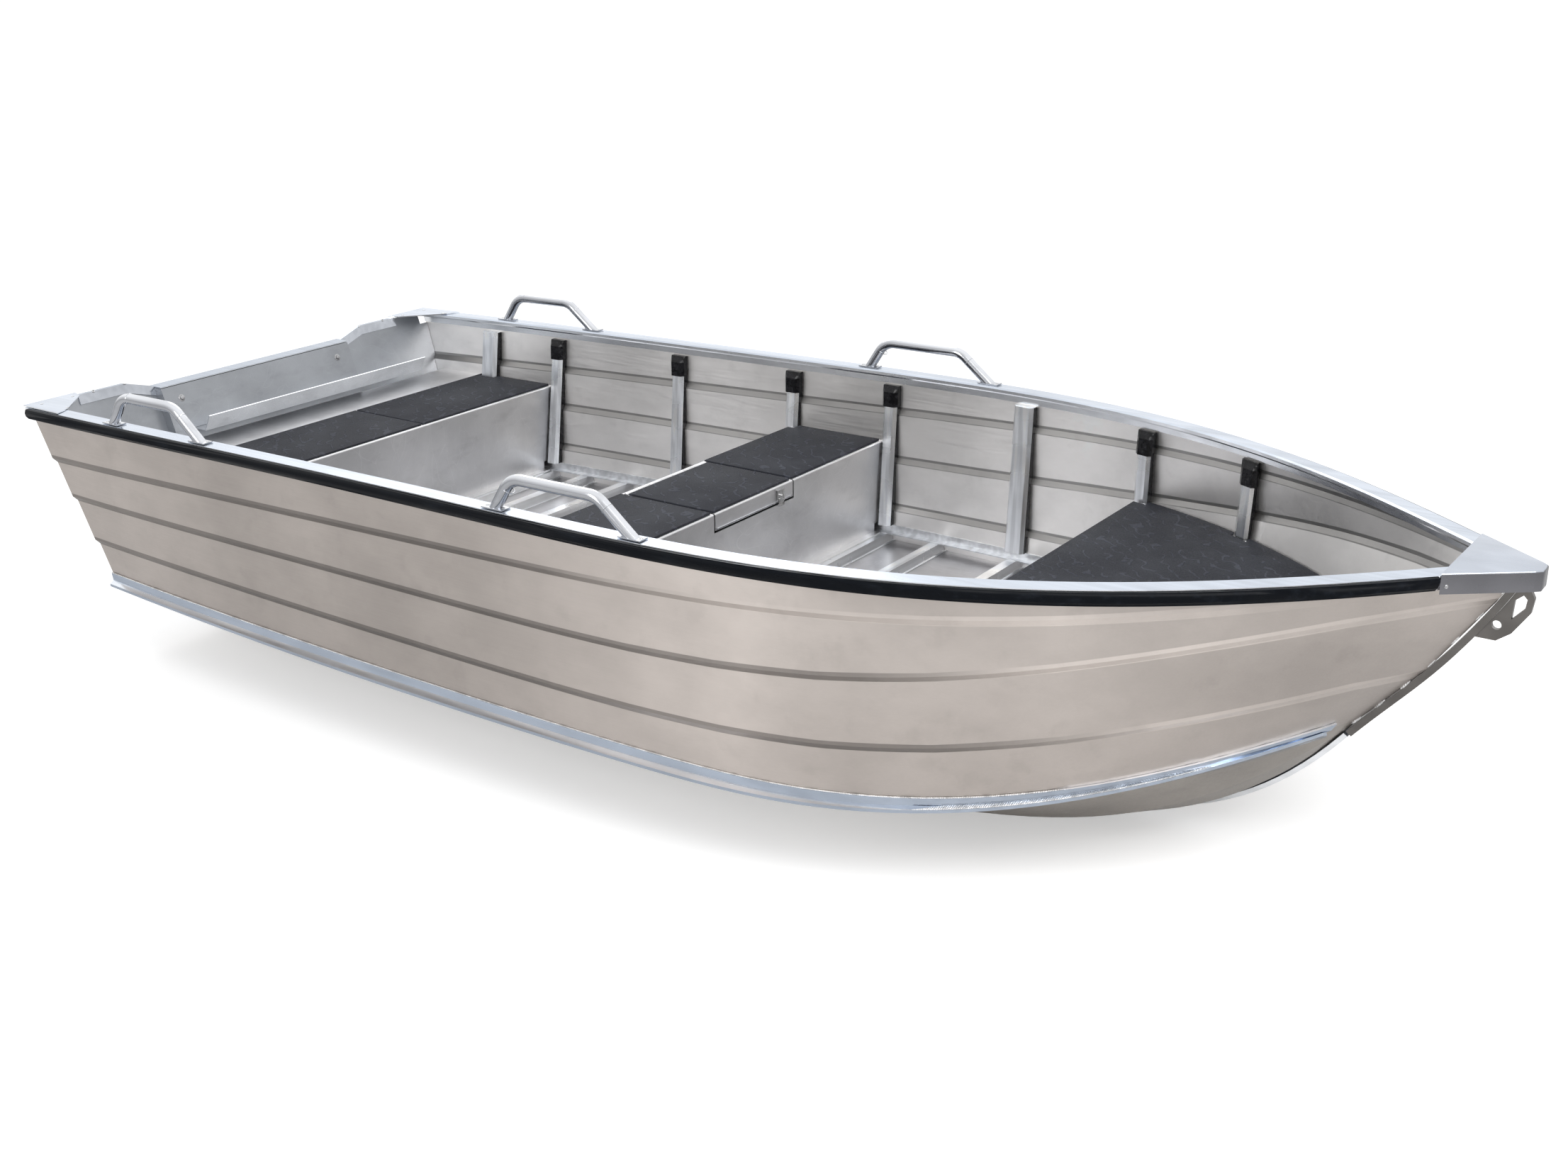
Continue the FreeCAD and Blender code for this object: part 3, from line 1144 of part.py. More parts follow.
def grab_handle(name, first, last):
    line = outer_side_lines[0]
    radius = size("HandleRadius")
    feet = []
    for x in (size(first) + radius, size(last) - radius):
        place, outward, lean = sheer_frame((x - line.start) / (line.end - line.start))
        feet.append((place - outward * size("HandleInset") + Vector(0, 0, top + 2 * gap), outward))
    ends = [foot for foot, outward in feet]
    along = unit_along(ends[1] - ends[0])
    height = Vector(0, 0, size("HandleHeight") - radius)
    points = [ends[0], ends[0] + along * size("HandleAftLean") + height,
              ends[1] - along * size("HandleForeLean") + height, ends[1]]
    below = unit_along(points[0] - points[1]) * radius
    under = unit_along(points[3] - points[2]) * radius
    points = [points[0] + below, points[1], points[2], points[3] + under]
    path = from_shape(name + "_path", bent_path(points, size("HandleBend")))
    ring = doc.addObject("Part::Circle", name + "_ring")
    ring.Placement = Placement(points[0], Rotation(Vector(0, 0, 1), points[1] - points[0]))
    bind(ring, Radius="HandleRadius")
    tube = doc.addObject("Part::Sweep", name + "_tube")
    tube.Sections = [ring]
    tube.Spine = (path, ["Edge%d" % (index + 1) for index in range(len(path.Shape.Edges))])
    tube.Solid = True
    reach = size("HandleHeight")
    inside_foot = Vector(0, 0, size("HandleFootWall") / 2)
    before = ends[0] - along * reach + inside_foot
    after = ends[1] + along * reach + inside_foot
    low = [Vector(p.x, 0, p.z) for p in (before, after)]
    low += [Vector(p.x, 0, p.z - reach) for p in (after, before)]
    below_rail = from_shape(name + "_below", polygon_face(low).extrude(Vector(0, 2 * size("HalfBeam"), 0)))
    cut_tube = combined("Cut", name + "_cut", tube, below_rail)
    plates = [from_shape("%s_foot_%d" % (name, number), foot_plate(foot, along, outward))
              for number, (foot, outward) in enumerate(feet)]
    return joined(name, [cut_tube] + plates)


for name, first, last in (("aft_handle", "AftHandleStart", "AftHandleEnd"),
                          ("fore_handle", "ForeHandleStart", "ForeHandleEnd")):
    keep_pair(grab_handle(name, first, last), name)

# Tray in front of the transom
tray_aft = transom_run("TrayLevel", PAD_FRONT + " - PadRebate + SeatGap")
tray = profile_body("transom_tray", [
    (tray_aft, "TrayLevel"), (tray_aft + " + TrayShelf", "TrayLevel"),
    (tray_aft + " + TrayShelf + TrayFlare", "TrayLevel + TrayRise"),
    (tray_aft + " + TrayShelf + TrayFlare - TrayWall", "TrayLevel + TrayRise + TrayWall / 2"),
    (tray_aft + " + TrayShelf - TrayWall / 2", "TrayLevel + TrayWall"), (tray_aft, "TrayLevel + TrayWall"),
], "TrayEnd - TrayStart")
bind(tray, Placement_Base_y="(TrayStart + TrayEnd) / 2")
keep(tray, "transom_tray")

# Drain fitting: a flanged bush turned about the drain's axis
fitting = doc.addObject("PartDesign::Body", "drain_fitting")
ring_profile = outline_sketch(fitting, "drain_fitting_profile", "XZ_Plane", [
    ("DrainRadius", "0"), ("DrainFlange", "0"), ("DrainFlange", "DrainBoss / 2"),
    ("DrainFlange - DrainBoss / 2", "DrainBoss"), ("DrainRadius", "DrainBoss")])
turned = fitting.newObject("PartDesign::Revolution", "drain_fitting_turned")
turned.Profile = ring_profile
turned.ReferenceAxis = (ring_profile, ["V_Axis"])
fitting.Tip = turned
drain_along, drain_high = square_to_transom("(KeelBarDepth + DrainRise)", "-SeatGap")
fitting.Placement.Rotation = Rotation(Vector(0, 1, 0), -90 - math.degrees(rake))
bind(fitting, Placement_Base_y="DrainSide", Placement_Base_z=drain_high)
keep(fitting, "drain_fitting", drain_along)

doc.recompute()
for piece in doc.Objects:
    broken = [word for word in piece.State if word in ("Invalid", "Error")]
    if broken:
        raise ValueError("%s is not sound: %s" % (piece.Name, broken))
for piece in PARTS:
    if piece.Shape.isNull() or not piece.Shape.isValid():
        raise ValueError("%s has no valid shape" % piece.Label)

os.makedirs("parts", exist_ok=True)
for piece in PARTS:
    piece.Shape.exportStep("parts/%s.step" % piece.Label)
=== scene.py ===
import bpy
import math
from mathutils import Euler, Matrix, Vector


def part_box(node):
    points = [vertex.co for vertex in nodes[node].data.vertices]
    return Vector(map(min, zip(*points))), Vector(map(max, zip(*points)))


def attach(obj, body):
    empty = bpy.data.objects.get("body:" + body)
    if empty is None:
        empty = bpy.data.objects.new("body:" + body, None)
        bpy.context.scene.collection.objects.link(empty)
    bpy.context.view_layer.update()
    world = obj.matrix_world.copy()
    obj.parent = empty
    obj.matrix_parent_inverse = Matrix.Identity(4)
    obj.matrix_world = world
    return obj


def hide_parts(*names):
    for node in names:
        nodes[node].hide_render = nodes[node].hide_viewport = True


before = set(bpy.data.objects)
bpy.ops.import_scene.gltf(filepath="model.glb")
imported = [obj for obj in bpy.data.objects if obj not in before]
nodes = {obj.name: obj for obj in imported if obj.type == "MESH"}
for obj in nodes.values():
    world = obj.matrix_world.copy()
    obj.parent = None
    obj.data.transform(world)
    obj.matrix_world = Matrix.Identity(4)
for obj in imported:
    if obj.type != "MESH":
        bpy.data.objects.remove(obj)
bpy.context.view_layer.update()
scene = bpy.context.scene

# Places and lengths are in metres, with +X towards the bow, +Y to port and +Z up. Angles are in degrees.
SIDES = ((1, "port"), (-1, "starboard"))
WHITE = (1, 1, 1, 1)

# The camera stands off the starboard bow, above a standing person's eyes.
CAMERA_PLACE = (2.643, -3.776, 2.043)
CAMERA_TURN = (69.62, 0.15, 34.03)
CAMERA_SENSOR = 36.0
CAMERA_LENS = 42.82
camera_data = bpy.data.cameras.new("boat_camera")
camera_data.sensor_width = CAMERA_SENSOR
camera_data.lens = CAMERA_LENS
camera = bpy.data.objects.new("boat_camera", camera_data)
camera.location = CAMERA_PLACE
camera.rotation_euler = Euler([math.radians(angle) for angle in CAMERA_TURN], "XYZ")
scene.collection.objects.link(camera)
scene.camera = camera
scene.view_settings.view_transform = "Standard"


# Finishes
class Nodes:
    """The nodes of a material or of the world."""

    def __init__(self, tree):
        self.tree = tree

    def node(self, kind, inputs=(), **settings):
        """A new node with its settings, and with each input linked or given a value."""
        made = self.tree.nodes.new(kind)
        for setting, value in settings.items():
            setattr(made, setting, value)
        for key, value in dict(inputs).items():
            if isinstance(value, bpy.types.NodeSocket):
                self.tree.links.new(value, made.inputs[key])
            else:
                made.inputs[key].default_value = value
        return made

    def maths(self, operation, first, second=0.0):
        return self.node("ShaderNodeMath", {0: first, 1: second}, operation=operation).outputs["Value"]

    def plus(self, first, second):
        return self.maths("ADD", first, second)

    def minus(self, first, second):
        return self.maths("SUBTRACT", first, second)

    def times(self, first, second):
        return self.maths("MULTIPLY", first, second)

    def apart(self, first, second):
        """How far apart two values are."""
        return self.maths("ABSOLUTE", self.minus(first, second))


class Finish(Nodes):
    """A material whose patterns all read the piece's own object coordinates."""

    def __init__(self, name):
        self.material = bpy.data.materials.new(name)
        self.material.use_nodes = True
        super().__init__(self.material.node_tree)
        self.shader = self.tree.nodes["Principled BSDF"]
        self.places = self.node("ShaderNodeTexCoord").outputs["Object"]

    def set(self, **values):
        """Sets sockets of the shader that are the same all over."""
        for socket, value in values.items():
            self.shader.inputs[socket.replace("_", " ")].default_value = value
        return self

    def give(self, socket, value):
        """Sets a socket of the shader by a pattern."""
        self.tree.links.new(value, self.shader.inputs[socket])

    def stretched(self, scale):
        """Places whose pattern is drawn out along the axes with the smaller scales."""
        return self.node("ShaderNodeMapping", {"Vector": self.places, "Scale": scale}).outputs["Vector"]

    def noise(self, places, scale, detail=4.0, roughness=0.55):
        made = self.node("ShaderNodeTexNoise", {"Vector": places, "Scale": scale, "Detail": detail,
                                                "Roughness": roughness})
        return made.outputs["Fac"]

    def rolling_lines(self):
        """Fine lines along the boat, as the mill leaves them on a sheet."""
        return self.noise(self.stretched((2.0, 260.0, 260.0)), 1.0, 3.0)

    def levels(self, value, across, shown):
        """Goes smoothly from the first number shown to the second as the value crosses a range."""
        made = self.node("ShaderNodeMapRange", {"Value": value, "From Min": across[0], "From Max": across[1],
                                                "To Min": shown[0], "To Max": shown[1]},
                         interpolation_type="SMOOTHSTEP")
        return made.outputs["Result"]

    def blend(self, share, first, second, kind="MIX"):
        made = self.node("ShaderNodeMix", {"Factor": share, "A": first, "B": second}, data_type="RGBA",
                         blend_type=kind)
        return made.outputs["Result"]

    def shaded(self, colour, value):
        """A colour darkened or lightened by a pattern round 1."""
        return self.blend(1.0, colour, value, "MULTIPLY")

    def facing(self, axis):
        """One axis of the direction in which the surface faces."""
        normal = self.node("ShaderNodeNewGeometry").outputs["Normal"]
        return self.node("ShaderNodeSeparateXYZ", {"Vector": normal}).outputs[axis]

    def bump(self, height, strength, distance):
        made = self.node("ShaderNodeBump", {"Height": height, "Strength": strength, "Distance": distance})
        self.give("Normal", made.outputs["Normal"])


# Heights of the three pressed seams at even stations from the transom to the stem, and the painted light on
# each
# one there: 1 is painted shade at a step, 0.5 is level with the planks and 0 is a painted highlight at a
# fold
SEAM_FIRST = -1.903
SEAM_LAST = 1.857
SEAM_HEIGHTS = [
    [0.5632, 0.5704, 0.5783, 0.5857, 0.5928, 0.5996, 0.6062, 0.6130, 0.6202,
     0.6281, 0.6372, 0.6479, 0.6612, 0.6777, 0.6975, 0.7192, 0.7415],
    [0.4527, 0.4552, 0.4588, 0.4624, 0.4657, 0.4684, 0.4703, 0.4721, 0.4749,
     0.4803, 0.4906, 0.5082, 0.5357, 0.5733, 0.6176, 0.6595, 0.6913],
    [0.3271, 0.3278, 0.3289, 0.3298, 0.3302, 0.3303, 0.3299, 0.3293, 0.3292,
     0.3304, 0.3344, 0.3437, 0.3626, 0.3951, 0.4390, 0.4855, 0.5051],
]
SEAM_SHADE_AND_HIGHLIGHT = [
    [1, 1, 1, 1, 1, 1, 1, 0.95, 0.85, 0.6, 0.5, 0.45, 0.35, 0.3, 0.35, 0.5, 0.5],
    [1, 1, 1, 1, 1, 1, 1, 1, 1, 1, 1, 0.95, 0.7, 0.3, 0.15, 0.3, 0.45],
    [1, 1, 1, 1, 1, 1, 1, 1, 1, 1, 1, 1, 0.9, 0.6, 0.25, 0.3, 0.45],
]
# The middle of a seam's band of painted shade and highlight over its height, the band's half breadth inside
# and outside its soft edge, its painted highlight at a fold and painted shade at a step, and its painted
# shade on the inside of the plate
SEAM_ABOVE = 0.0035
SEAM_HALF_BREADTHS = (0.0105, 0.0125)
SEAM_HIGHLIGHT_AND_SHADE = (0.5, -0.5)
SEAM_INSIDE_SHADE = -0.62
# Where a broad upright highlight is painted on the side, and how far the painted highlight reaches each way
PAINTED_HIGHLIGHT_AT = 0.43
PAINTED_HIGHLIGHT_REACH = (0.05, 0.36)


def seam_painted_light(finish, axes, inside):
    """About 1 on the planks, lower with painted shade at the seams' steps and higher with a painted
    highlight where a seam folds to the light.
    """
    along = finish.node("ShaderNodeMapRange", {"Value": axes.outputs["X"], "From Min": SEAM_FIRST,
                                               "From Max": SEAM_LAST}).outputs["Result"]
    tone = 1.0
    for heights, tones in zip(SEAM_HEIGHTS, SEAM_SHADE_AND_HIGHLIGHT):
        ramp = finish.node("ShaderNodeValToRGB", {"Fac": along})
        stops = ramp.color_ramp.elements
        last = len(heights) - 1
        stops[1].position = 1.0
        for index in range(1, last):
            stops.new(index / last)
        for stop, height, shown in zip(stops, heights, tones):
            stop.color = (height, shown, 0, 1)
        parts = finish.node("ShaderNodeSeparateColor", {"Color": ramp.outputs["Color"]})
        over = finish.minus(axes.outputs["Z"], parts.outputs["Red"])
        band = finish.levels(finish.apart(over, SEAM_ABOVE), SEAM_HALF_BREADTHS, (1.0, 0.0))
        # How the seam band is painted here: a painted highlight at a fold, painted shade at a step, and
        # painted shade on the inside
        depth = finish.levels(parts.outputs["Green"], (0.0, 1.0), SEAM_HIGHLIGHT_AND_SHADE)
        shade = finish.node("ShaderNodeMix", {"Factor": inside, "A": depth, "B": SEAM_INSIDE_SHADE})
        tone = finish.plus(tone, finish.times(band, shade.outputs["Result"]))
    return tone


def pressed_side(name, outer, inner):
    """The pressed side plates: warm satin outside and, as painted light, much paler inside, with a painted
    highlight band, stepped seams and soft clouds.
    """
    finish = Finish(name)
    axes = finish.node("ShaderNodeSeparateXYZ", {"Vector": finish.places})
    inwards = finish.times(finish.facing("Y"), axes.outputs["Y"])
    inside = finish.levels(inwards, (-0.1, 0.0), (1.0, 0.0))
    # Painted light: the outside and inside of the same sheet take two colours, the inside much paler, for
    # the light each face gets
    colour = finish.blend(inside, outer + (1,), inner + (1,))
    upright = finish.noise(finish.stretched((1.5, 0.2, 0.3)), 1.0, 2.0, 0.4)
    clouds = finish.noise(finish.stretched((1.0, 1.0, 1.6)), 3.2, 5.0, 0.6)
    stains = finish.noise(finish.places, 11.0, 4.0, 0.6)
    lines = finish.rolling_lines()
    tone = finish.levels(upright, (0.34, 0.66), (0.86, 1.1))
    # A painted highlight: a broad upright band of the side painted up to 22% brighter round one place along
    # the boat
    from_painted_highlight = finish.apart(axes.outputs["X"], PAINTED_HIGHLIGHT_AT)
    tone = finish.times(tone, finish.levels(from_painted_highlight, PAINTED_HIGHLIGHT_REACH, (1.22, 1.0)))
    tone = finish.times(tone, finish.levels(clouds, (0.3, 0.7), (0.92, 1.07)))
    tone = finish.times(tone, finish.levels(stains, (0.55, 0.72), (1.0, 0.94)))
    # Painted shade and painted highlight along the three seams
    tone = finish.times(tone, seam_painted_light(finish, axes, inside))
    finish.give("Base Color", finish.shaded(colour, tone))
    finish.give("Roughness", finish.levels(lines, (0.25, 0.75), (0.36, 0.46)))
    finish.bump(finish.plus(clouds, finish.times(lines, 0.05)), 0.3, 0.0015)
    return finish.set(Metallic=1.0).material


def rolled_sheet(name, tone, shine, scratched=0.0, painted_top_light=0.0):
    """Bare aluminium sheet: cloudy stains, fine rolling lines and, where asked, faint curved scratches and a
    painted highlight that makes level faces brighter."""
    finish = Finish(name)
    clouds = finish.noise(finish.places, 2.6, 5.0)
    stains = finish.noise(finish.stretched((1.0, 1.0, 2.5)), 8.0, 6.0, 0.62)
    lines = finish.rolling_lines()
    value = finish.levels(clouds, (0.3, 0.7), (0.84, 1.1))
    value = finish.times(value, finish.levels(stains, (0.5, 0.75), (1.0, 0.88)))
    # Painted light: faces that look up are painted brighter
    if painted_top_light:
        value = finish.plus(value, finish.levels(finish.facing("Z"), (0.2, 0.7), (0.0, painted_top_light)))
    if scratched:
        bent = finish.node("ShaderNodeTexNoise", {"Vector": finish.places, "Scale": 2.2, "Detail": 1.0})
        arcs = finish.node("ShaderNodeTexVoronoi", {"Vector": bent.outputs["Color"], "Scale": 16.0},
                           feature="DISTANCE_TO_EDGE")
        value = finish.plus(value, finish.levels(arcs.outputs["Distance"], (0.0, 0.012), (scratched, 0.0)))
    finish.give("Base Color", finish.shaded(tone + (1,), value))
    finish.give("Roughness", finish.levels(lines, (0.25, 0.75), (shine - 0.04, shine + 0.08)))
    finish.bump(finish.plus(clouds, finish.times(lines, 0.05)), 0.35, 0.0015)
    return finish.set(Metallic=1.0).material


# How the die lines of a section run: along the boat, up it or across it
GRAIN_ALONG = (1.2, 55.0, 55.0)
GRAIN_UP = (75.0, 75.0, 1.3)
GRAIN_ACROSS = (60.0, 1.0, 60.0)


def drawn_section(name, tone, upright_painted_light, shine, grain=GRAIN_ALONG, streaks=0.05):
    """Extruded aluminium with die lines, and painted light: faces that look up and upright faces take two
    colours for how light falls on them.
    """
    finish = Finish(name)
    smudges = finish.noise(finish.stretched((1.0, 2.0, 2.0)), 5.0, 2.0, 0.5)
    lines = finish.noise(finish.stretched(grain), 1.0, 1.0, 0.4)
    # Painted light: the colour follows which way the face looks, up or upright
    top = finish.levels(finish.facing("Z"), (0.25, 0.8), (0.0, 1.0))
    colour = finish.blend(top, upright_painted_light + (1,), tone + (1,))
    value = finish.levels(smudges, (0.35, 0.7), (1.03, 0.9))
    value = finish.times(value, finish.levels(lines, (0.3, 0.7), (1.0 - streaks, 1.0 + streaks)))
    finish.give("Base Color", finish.shaded(colour, value))
    finish.give("Roughness", finish.levels(smudges, (0.3, 0.7), (shine - 0.04, shine + 0.06)))
    finish.bump(smudges, 0.1, 0.0006)
    return finish.set(Metallic=1.0).material


def weld_metal(name):
    """Rippled weld beads."""
    finish = Finish(name)
    ripples = finish.node("ShaderNodeTexWave", {"Vector": finish.places, "Scale": 75.0, "Distortion": 3.0,
                                                "Detail": 2.0, "Detail Scale": 2.0}).outputs["Fac"]
    soot = finish.noise(finish.places, 40.0, 4.0)
    tone = finish.levels(soot, (0.35, 0.7), (1.0, 0.62))
    finish.give("Base Color", finish.shaded((0.8, 0.8, 0.8, 1), tone))
    finish.give("Roughness", finish.levels(soot, (0.3, 0.7), (0.3, 0.5)))
    finish.bump(ripples, 0.8, 0.0012)
    return finish.set(Metallic=1.0).material


def black_rubber(name):
    """Black rubber strip with faint scuffs along it."""
    finish = Finish(name)
    grain = finish.noise(finish.places, 220.0, 3.0)
    scuffs = finish.noise(finish.stretched((4.0, 30.0, 30.0)), 2.0, 5.0)
    worn = finish.levels(scuffs, (0.5, 0.75), (0.0, 1.0))
    finish.give("Base Color", finish.blend(worn, (0.003, 0.004, 0.006, 1), (0.008, 0.01, 0.014, 1)))
    finish.give("Roughness", finish.levels(scuffs, (0.3, 0.7), (0.26, 0.42)))
    finish.bump(grain, 0.2, 0.0003)
    return finish.set(Specular_IOR_Level=0.07).material


def moulded_black(name):
    """Glossy black moulded plastic."""
    finish = Finish(name)
    swirl = finish.noise(finish.places, 60.0, 2.0)
    pale = finish.levels(swirl, (0.4, 0.6), (0.0, 1.0))
    finish.give("Base Color", finish.blend(pale, (0.004, 0.004, 0.005, 1), (0.012, 0.012, 0.014, 1)))
    finish.give("Roughness", finish.levels(swirl, (0.3, 0.7), (0.16, 0.28)))
    finish.bump(swirl, 0.08, 0.0005)
    return finish.set(Specular_IOR_Level=0.25).material


def seat_foam(name):
    """Embossed foam mat: wandering raised strokes over a fine grain, blue black."""
    finish = Finish(name)
    strokes = finish.node("ShaderNodeTexWave", {"Vector": finish.stretched((1.0, 1.0, 0.2)), "Scale": 11.0,
                                                "Distortion": 7.0, "Detail": 1.0, "Detail Scale": 1.8},
                          bands_direction="DIAGONAL").outputs["Fac"]
    patches = finish.noise(finish.places, 24.0, 1.0)
    raised = finish.times(finish.levels(strokes, (0.84, 0.97), (0.0, 1.0)),
                          finish.levels(patches, (0.42, 0.5), (0.0, 1.0)))
    grain = finish.noise(finish.places, 350.0, 3.0)
    worn = finish.levels(finish.noise(finish.places, 7.0, 5.0), (0.35, 0.7), (0.0, 1.0))
    colour = finish.blend(worn, (0.02, 0.022, 0.03, 1), (0.034, 0.037, 0.047, 1))
    finish.give("Base Color", finish.shaded(colour, finish.levels(raised, (0.0, 1.0), (0.92, 1.7))))
    finish.give("Roughness", finish.levels(grain, (0.3, 0.7), (0.6, 0.78)))
    finish.bump(finish.plus(raised, finish.times(grain, 0.15)), 0.8, 0.002)
    return finish.set(Specular_IOR_Level=0.25).material


# The side's inner colour is painted much paler than its outer one: painted light
side_metal = pressed_side("side_sheet_pressed", (0.455, 0.415, 0.388), (0.83, 0.812, 0.795))
bottom_metal = rolled_sheet("bottom_sheet_rolled", (0.36, 0.335, 0.31), 0.38)
transom_metal = rolled_sheet("transom_sheet", (0.36, 0.375, 0.4), 0.36, scratched=0.08)
tray_metal = rolled_sheet("tray_sheet", (0.66, 0.68, 0.71), 0.3, scratched=0.08, painted_top_light=0.2)
seat_metal = rolled_sheet("seat_sheet", (0.7, 0.7, 0.71), 0.36, scratched=0.1, painted_top_light=0.2)
floor_sheet_metal = rolled_sheet("floor_sheet_rolled", (0.54, 0.54, 0.56), 0.34, scratched=0.1)
rail_metal = drawn_section("rail_section", (0.7, 0.76, 0.855), (0.9, 0.92, 0.95), 0.22)
cap_metal = drawn_section("bow_cap_sheet", (0.62, 0.665, 0.745), (0.2, 0.2, 0.215), 0.24,
                          grain=(9.0, 9.0, 9.0))
frame_metal = drawn_section("frame_section", (0.88, 0.91, 0.95), (0.88, 0.9, 0.93), 0.27,
                            grain=GRAIN_UP, streaks=0.16)
floor_metal = drawn_section("floor_section", (0.9, 0.92, 0.95), (0.66, 0.67, 0.69), 0.3,
                            grain=GRAIN_ACROSS, streaks=0.12)
cap_rail_metal = drawn_section("transom_rail_section", (0.5, 0.56, 0.65), (0.5, 0.52, 0.56), 0.18)
chine_metal = drawn_section("chine_section", (0.86, 0.9, 0.96), (0.4, 0.45, 0.53), 0.16)
tube_metal = drawn_section("handle_tube_drawn", (0.84, 0.86, 0.9), (0.42, 0.43, 0.455), 0.16)
fitting_metal = drawn_section("cast_fitting", (0.72, 0.72, 0.73), (0.42, 0.42, 0.42), 0.3,
                              grain=(30.0, 30.0, 30.0))
stem_metal = drawn_section("stem_section", (0.36, 0.35, 0.34), (0.15, 0.142, 0.135), 0.34,
                           grain=(30.0, 90.0, 30.0))
screw_metal = drawn_section("screw_steel", (0.62, 0.63, 0.64), (0.4, 0.4, 0.41), 0.24,
                            grain=(60.0, 60.0, 60.0))
bead_metal = weld_metal("weld_bead")
fender_rubber = black_rubber("fender_rubber_black")
cap_plastic = moulded_black("cap_plastic_black")
mat_foam = seat_foam("seat_foam_black")

WEARS = {
    side_metal: ["side_plate_port", "side_plate_starboard"],
    bottom_metal: ["bottom_plate_port", "bottom_plate_starboard"],
    transom_metal: ["transom_plate", "engine_pad_outer", "engine_pad_inner", "hatch_locker"],
    tray_metal: ["transom_tray"],
    seat_metal: ["stern_thwart", "centre_thwart", "bow_platform", "hatch_lid"],
    floor_sheet_metal: ["floor_sheet"],
    chine_metal: ["chine_rail_port", "chine_rail_starboard"],
    cap_rail_metal: ["transom_top_rail"],
    rail_metal: ["gunwale_rail_port", "gunwale_rail_starboard", "keel_bar", "bottom_runners",
                 "transom_corner_port", "transom_corner_starboard"],
    cap_metal: ["bow_cap"],
    frame_metal: ["side_frames_port", "side_frames_starboard"],
    floor_metal: ["floor_ribs", "floor_angle_port", "floor_angle_starboard"],
    tube_metal: ["aft_handle_port", "aft_handle_starboard", "fore_handle_port", "fore_handle_starboard"],
    fitting_metal: ["hatch_hinge", "hatch_latch", "drain_fitting"],
    stem_metal: ["bow_eye", "stem_bar"],
    fender_rubber: ["fender_strip_port", "fender_strip_starboard"],
    cap_plastic: ["frame_caps_port", "frame_caps_starboard"],
    mat_foam: ["stern_thwart_mats", "centre_thwart_mats", "hatch_mat", "bow_platform_mat"],
}
for material, worn_by in WEARS.items():
    for name in worn_by:
        for slot in nodes[name].material_slots:
            slot.material = material


# Ways of working on a piece
X, Z = 0, 2
MERGE_GAP = 0.00003
FLAT_ANGLE = math.radians(0.5)
SMOOTH_ANGLE = math.radians(35)
# How near a face an edge has to lie to belong to it, and how straight a face has to face along an axis
NEAR = 0.0005
STRAIGHT = 0.99


def only(piece):
    bpy.ops.object.select_all(action="DESELECT")
    piece.select_set(True)
    bpy.context.view_layer.objects.active = piece


def pick(piece, kind, wanted):
    """Selects the faces or edges that the test wants and leaves the piece in edit mode."""
    only(piece)
    bpy.ops.object.mode_set(mode="EDIT")
    bpy.ops.mesh.select_mode(type=kind)
    bpy.ops.mesh.select_all(action="DESELECT")
    bpy.ops.object.mode_set(mode="OBJECT")
    for part in piece.data.polygons if kind == "FACE" else piece.data.edges:
        part.select = wanted(part)
    bpy.ops.object.mode_set(mode="EDIT")


def done():
    bpy.ops.object.mode_set(mode="OBJECT")


def reach(piece, edge, axis):
    """The lowest and the highest place of an edge along one axis."""
    places = [piece.data.vertices[index].co[axis] for index in edge.vertices]
    return min(places), max(places)


def added(operator, **settings):
    """A new primitive."""
    bpy.ops.object.select_all(action="DESELECT")
    operator(**settings)
    return bpy.context.object


def copy_of(node, name):
    """A piece with a merged copy of a CAD node's mesh, its flat faces made whole."""
    piece = bpy.data.objects.new(name, nodes[node].data.copy())
    scene.collection.objects.link(piece)
    pick(piece, "FACE", lambda face: True)
    bpy.ops.mesh.remove_doubles(threshold=MERGE_GAP)
    bpy.ops.mesh.dissolve_limited(angle_limit=FLAT_ANGLE)
    done()
    return piece


def modified(piece, kind, **settings):
    """Applies a modifier to a piece."""
    only(piece)
    bpy.ops.object.modifier_add(type=kind)
    modifier = piece.modifiers[-1]
    for setting, value in settings.items():
        setattr(modifier, setting, value)
    bpy.ops.object.modifier_apply(modifier=modifier.name)
    return piece


def bevelled(piece, width, segments=2, sharper_than=50):
    """Rounds a piece's edges that are sharper than an angle."""
    return modified(piece, "BEVEL", width=width, segments=segments, limit_method="ANGLE",
                    angle_limit=math.radians(sharper_than))


def settled(piece):
    """Applies a piece's place, turn and scale to its mesh."""
    only(piece)
    bpy.ops.object.transform_apply(location=True, rotation=True, scale=True)
    return piece


def seat(piece, body, material):
    """Settles a finished piece on its body, with its place in its mesh."""
    settled(piece)
    bpy.ops.object.shade_smooth_by_angle(angle=SMOOTH_ANGLE)
    piece.data.materials.clear()
    piece.data.materials.append(material)
    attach(piece, body)


def gathered(name, pieces):
    """Several pieces joined into one."""
    bpy.ops.object.select_all(action="DESELECT")
    for piece in pieces:
        piece.select_set(True)
    bpy.context.view_layer.objects.active = pieces[0]
    bpy.ops.object.join()
    whole = bpy.context.object
    whole.name = name
    return whole


def stamped(master, place, turn):
    """A copy of a piece at a place, turned."""
    only(master)
    bpy.ops.object.duplicate(linked=False)
    copy = bpy.context.object
    copy.location = place
    copy.rotation_euler = turn.to_euler()
    return settled(copy)


def repeated(master, name, places):
    """Copies of one piece, each at a place and turned to face a direction, joined into one piece."""
    return gathered(name, [stamped(master, place, direction.to_track_quat("Z", "Y"))
                           for place, direction in places])


def on_surface(node, place):
    """The nearest place on a CAD node and the way its surface faces there."""
    _, spot, facing, _ = nodes[node].closest_point_on_mesh(Vector(place))
    return spot, facing


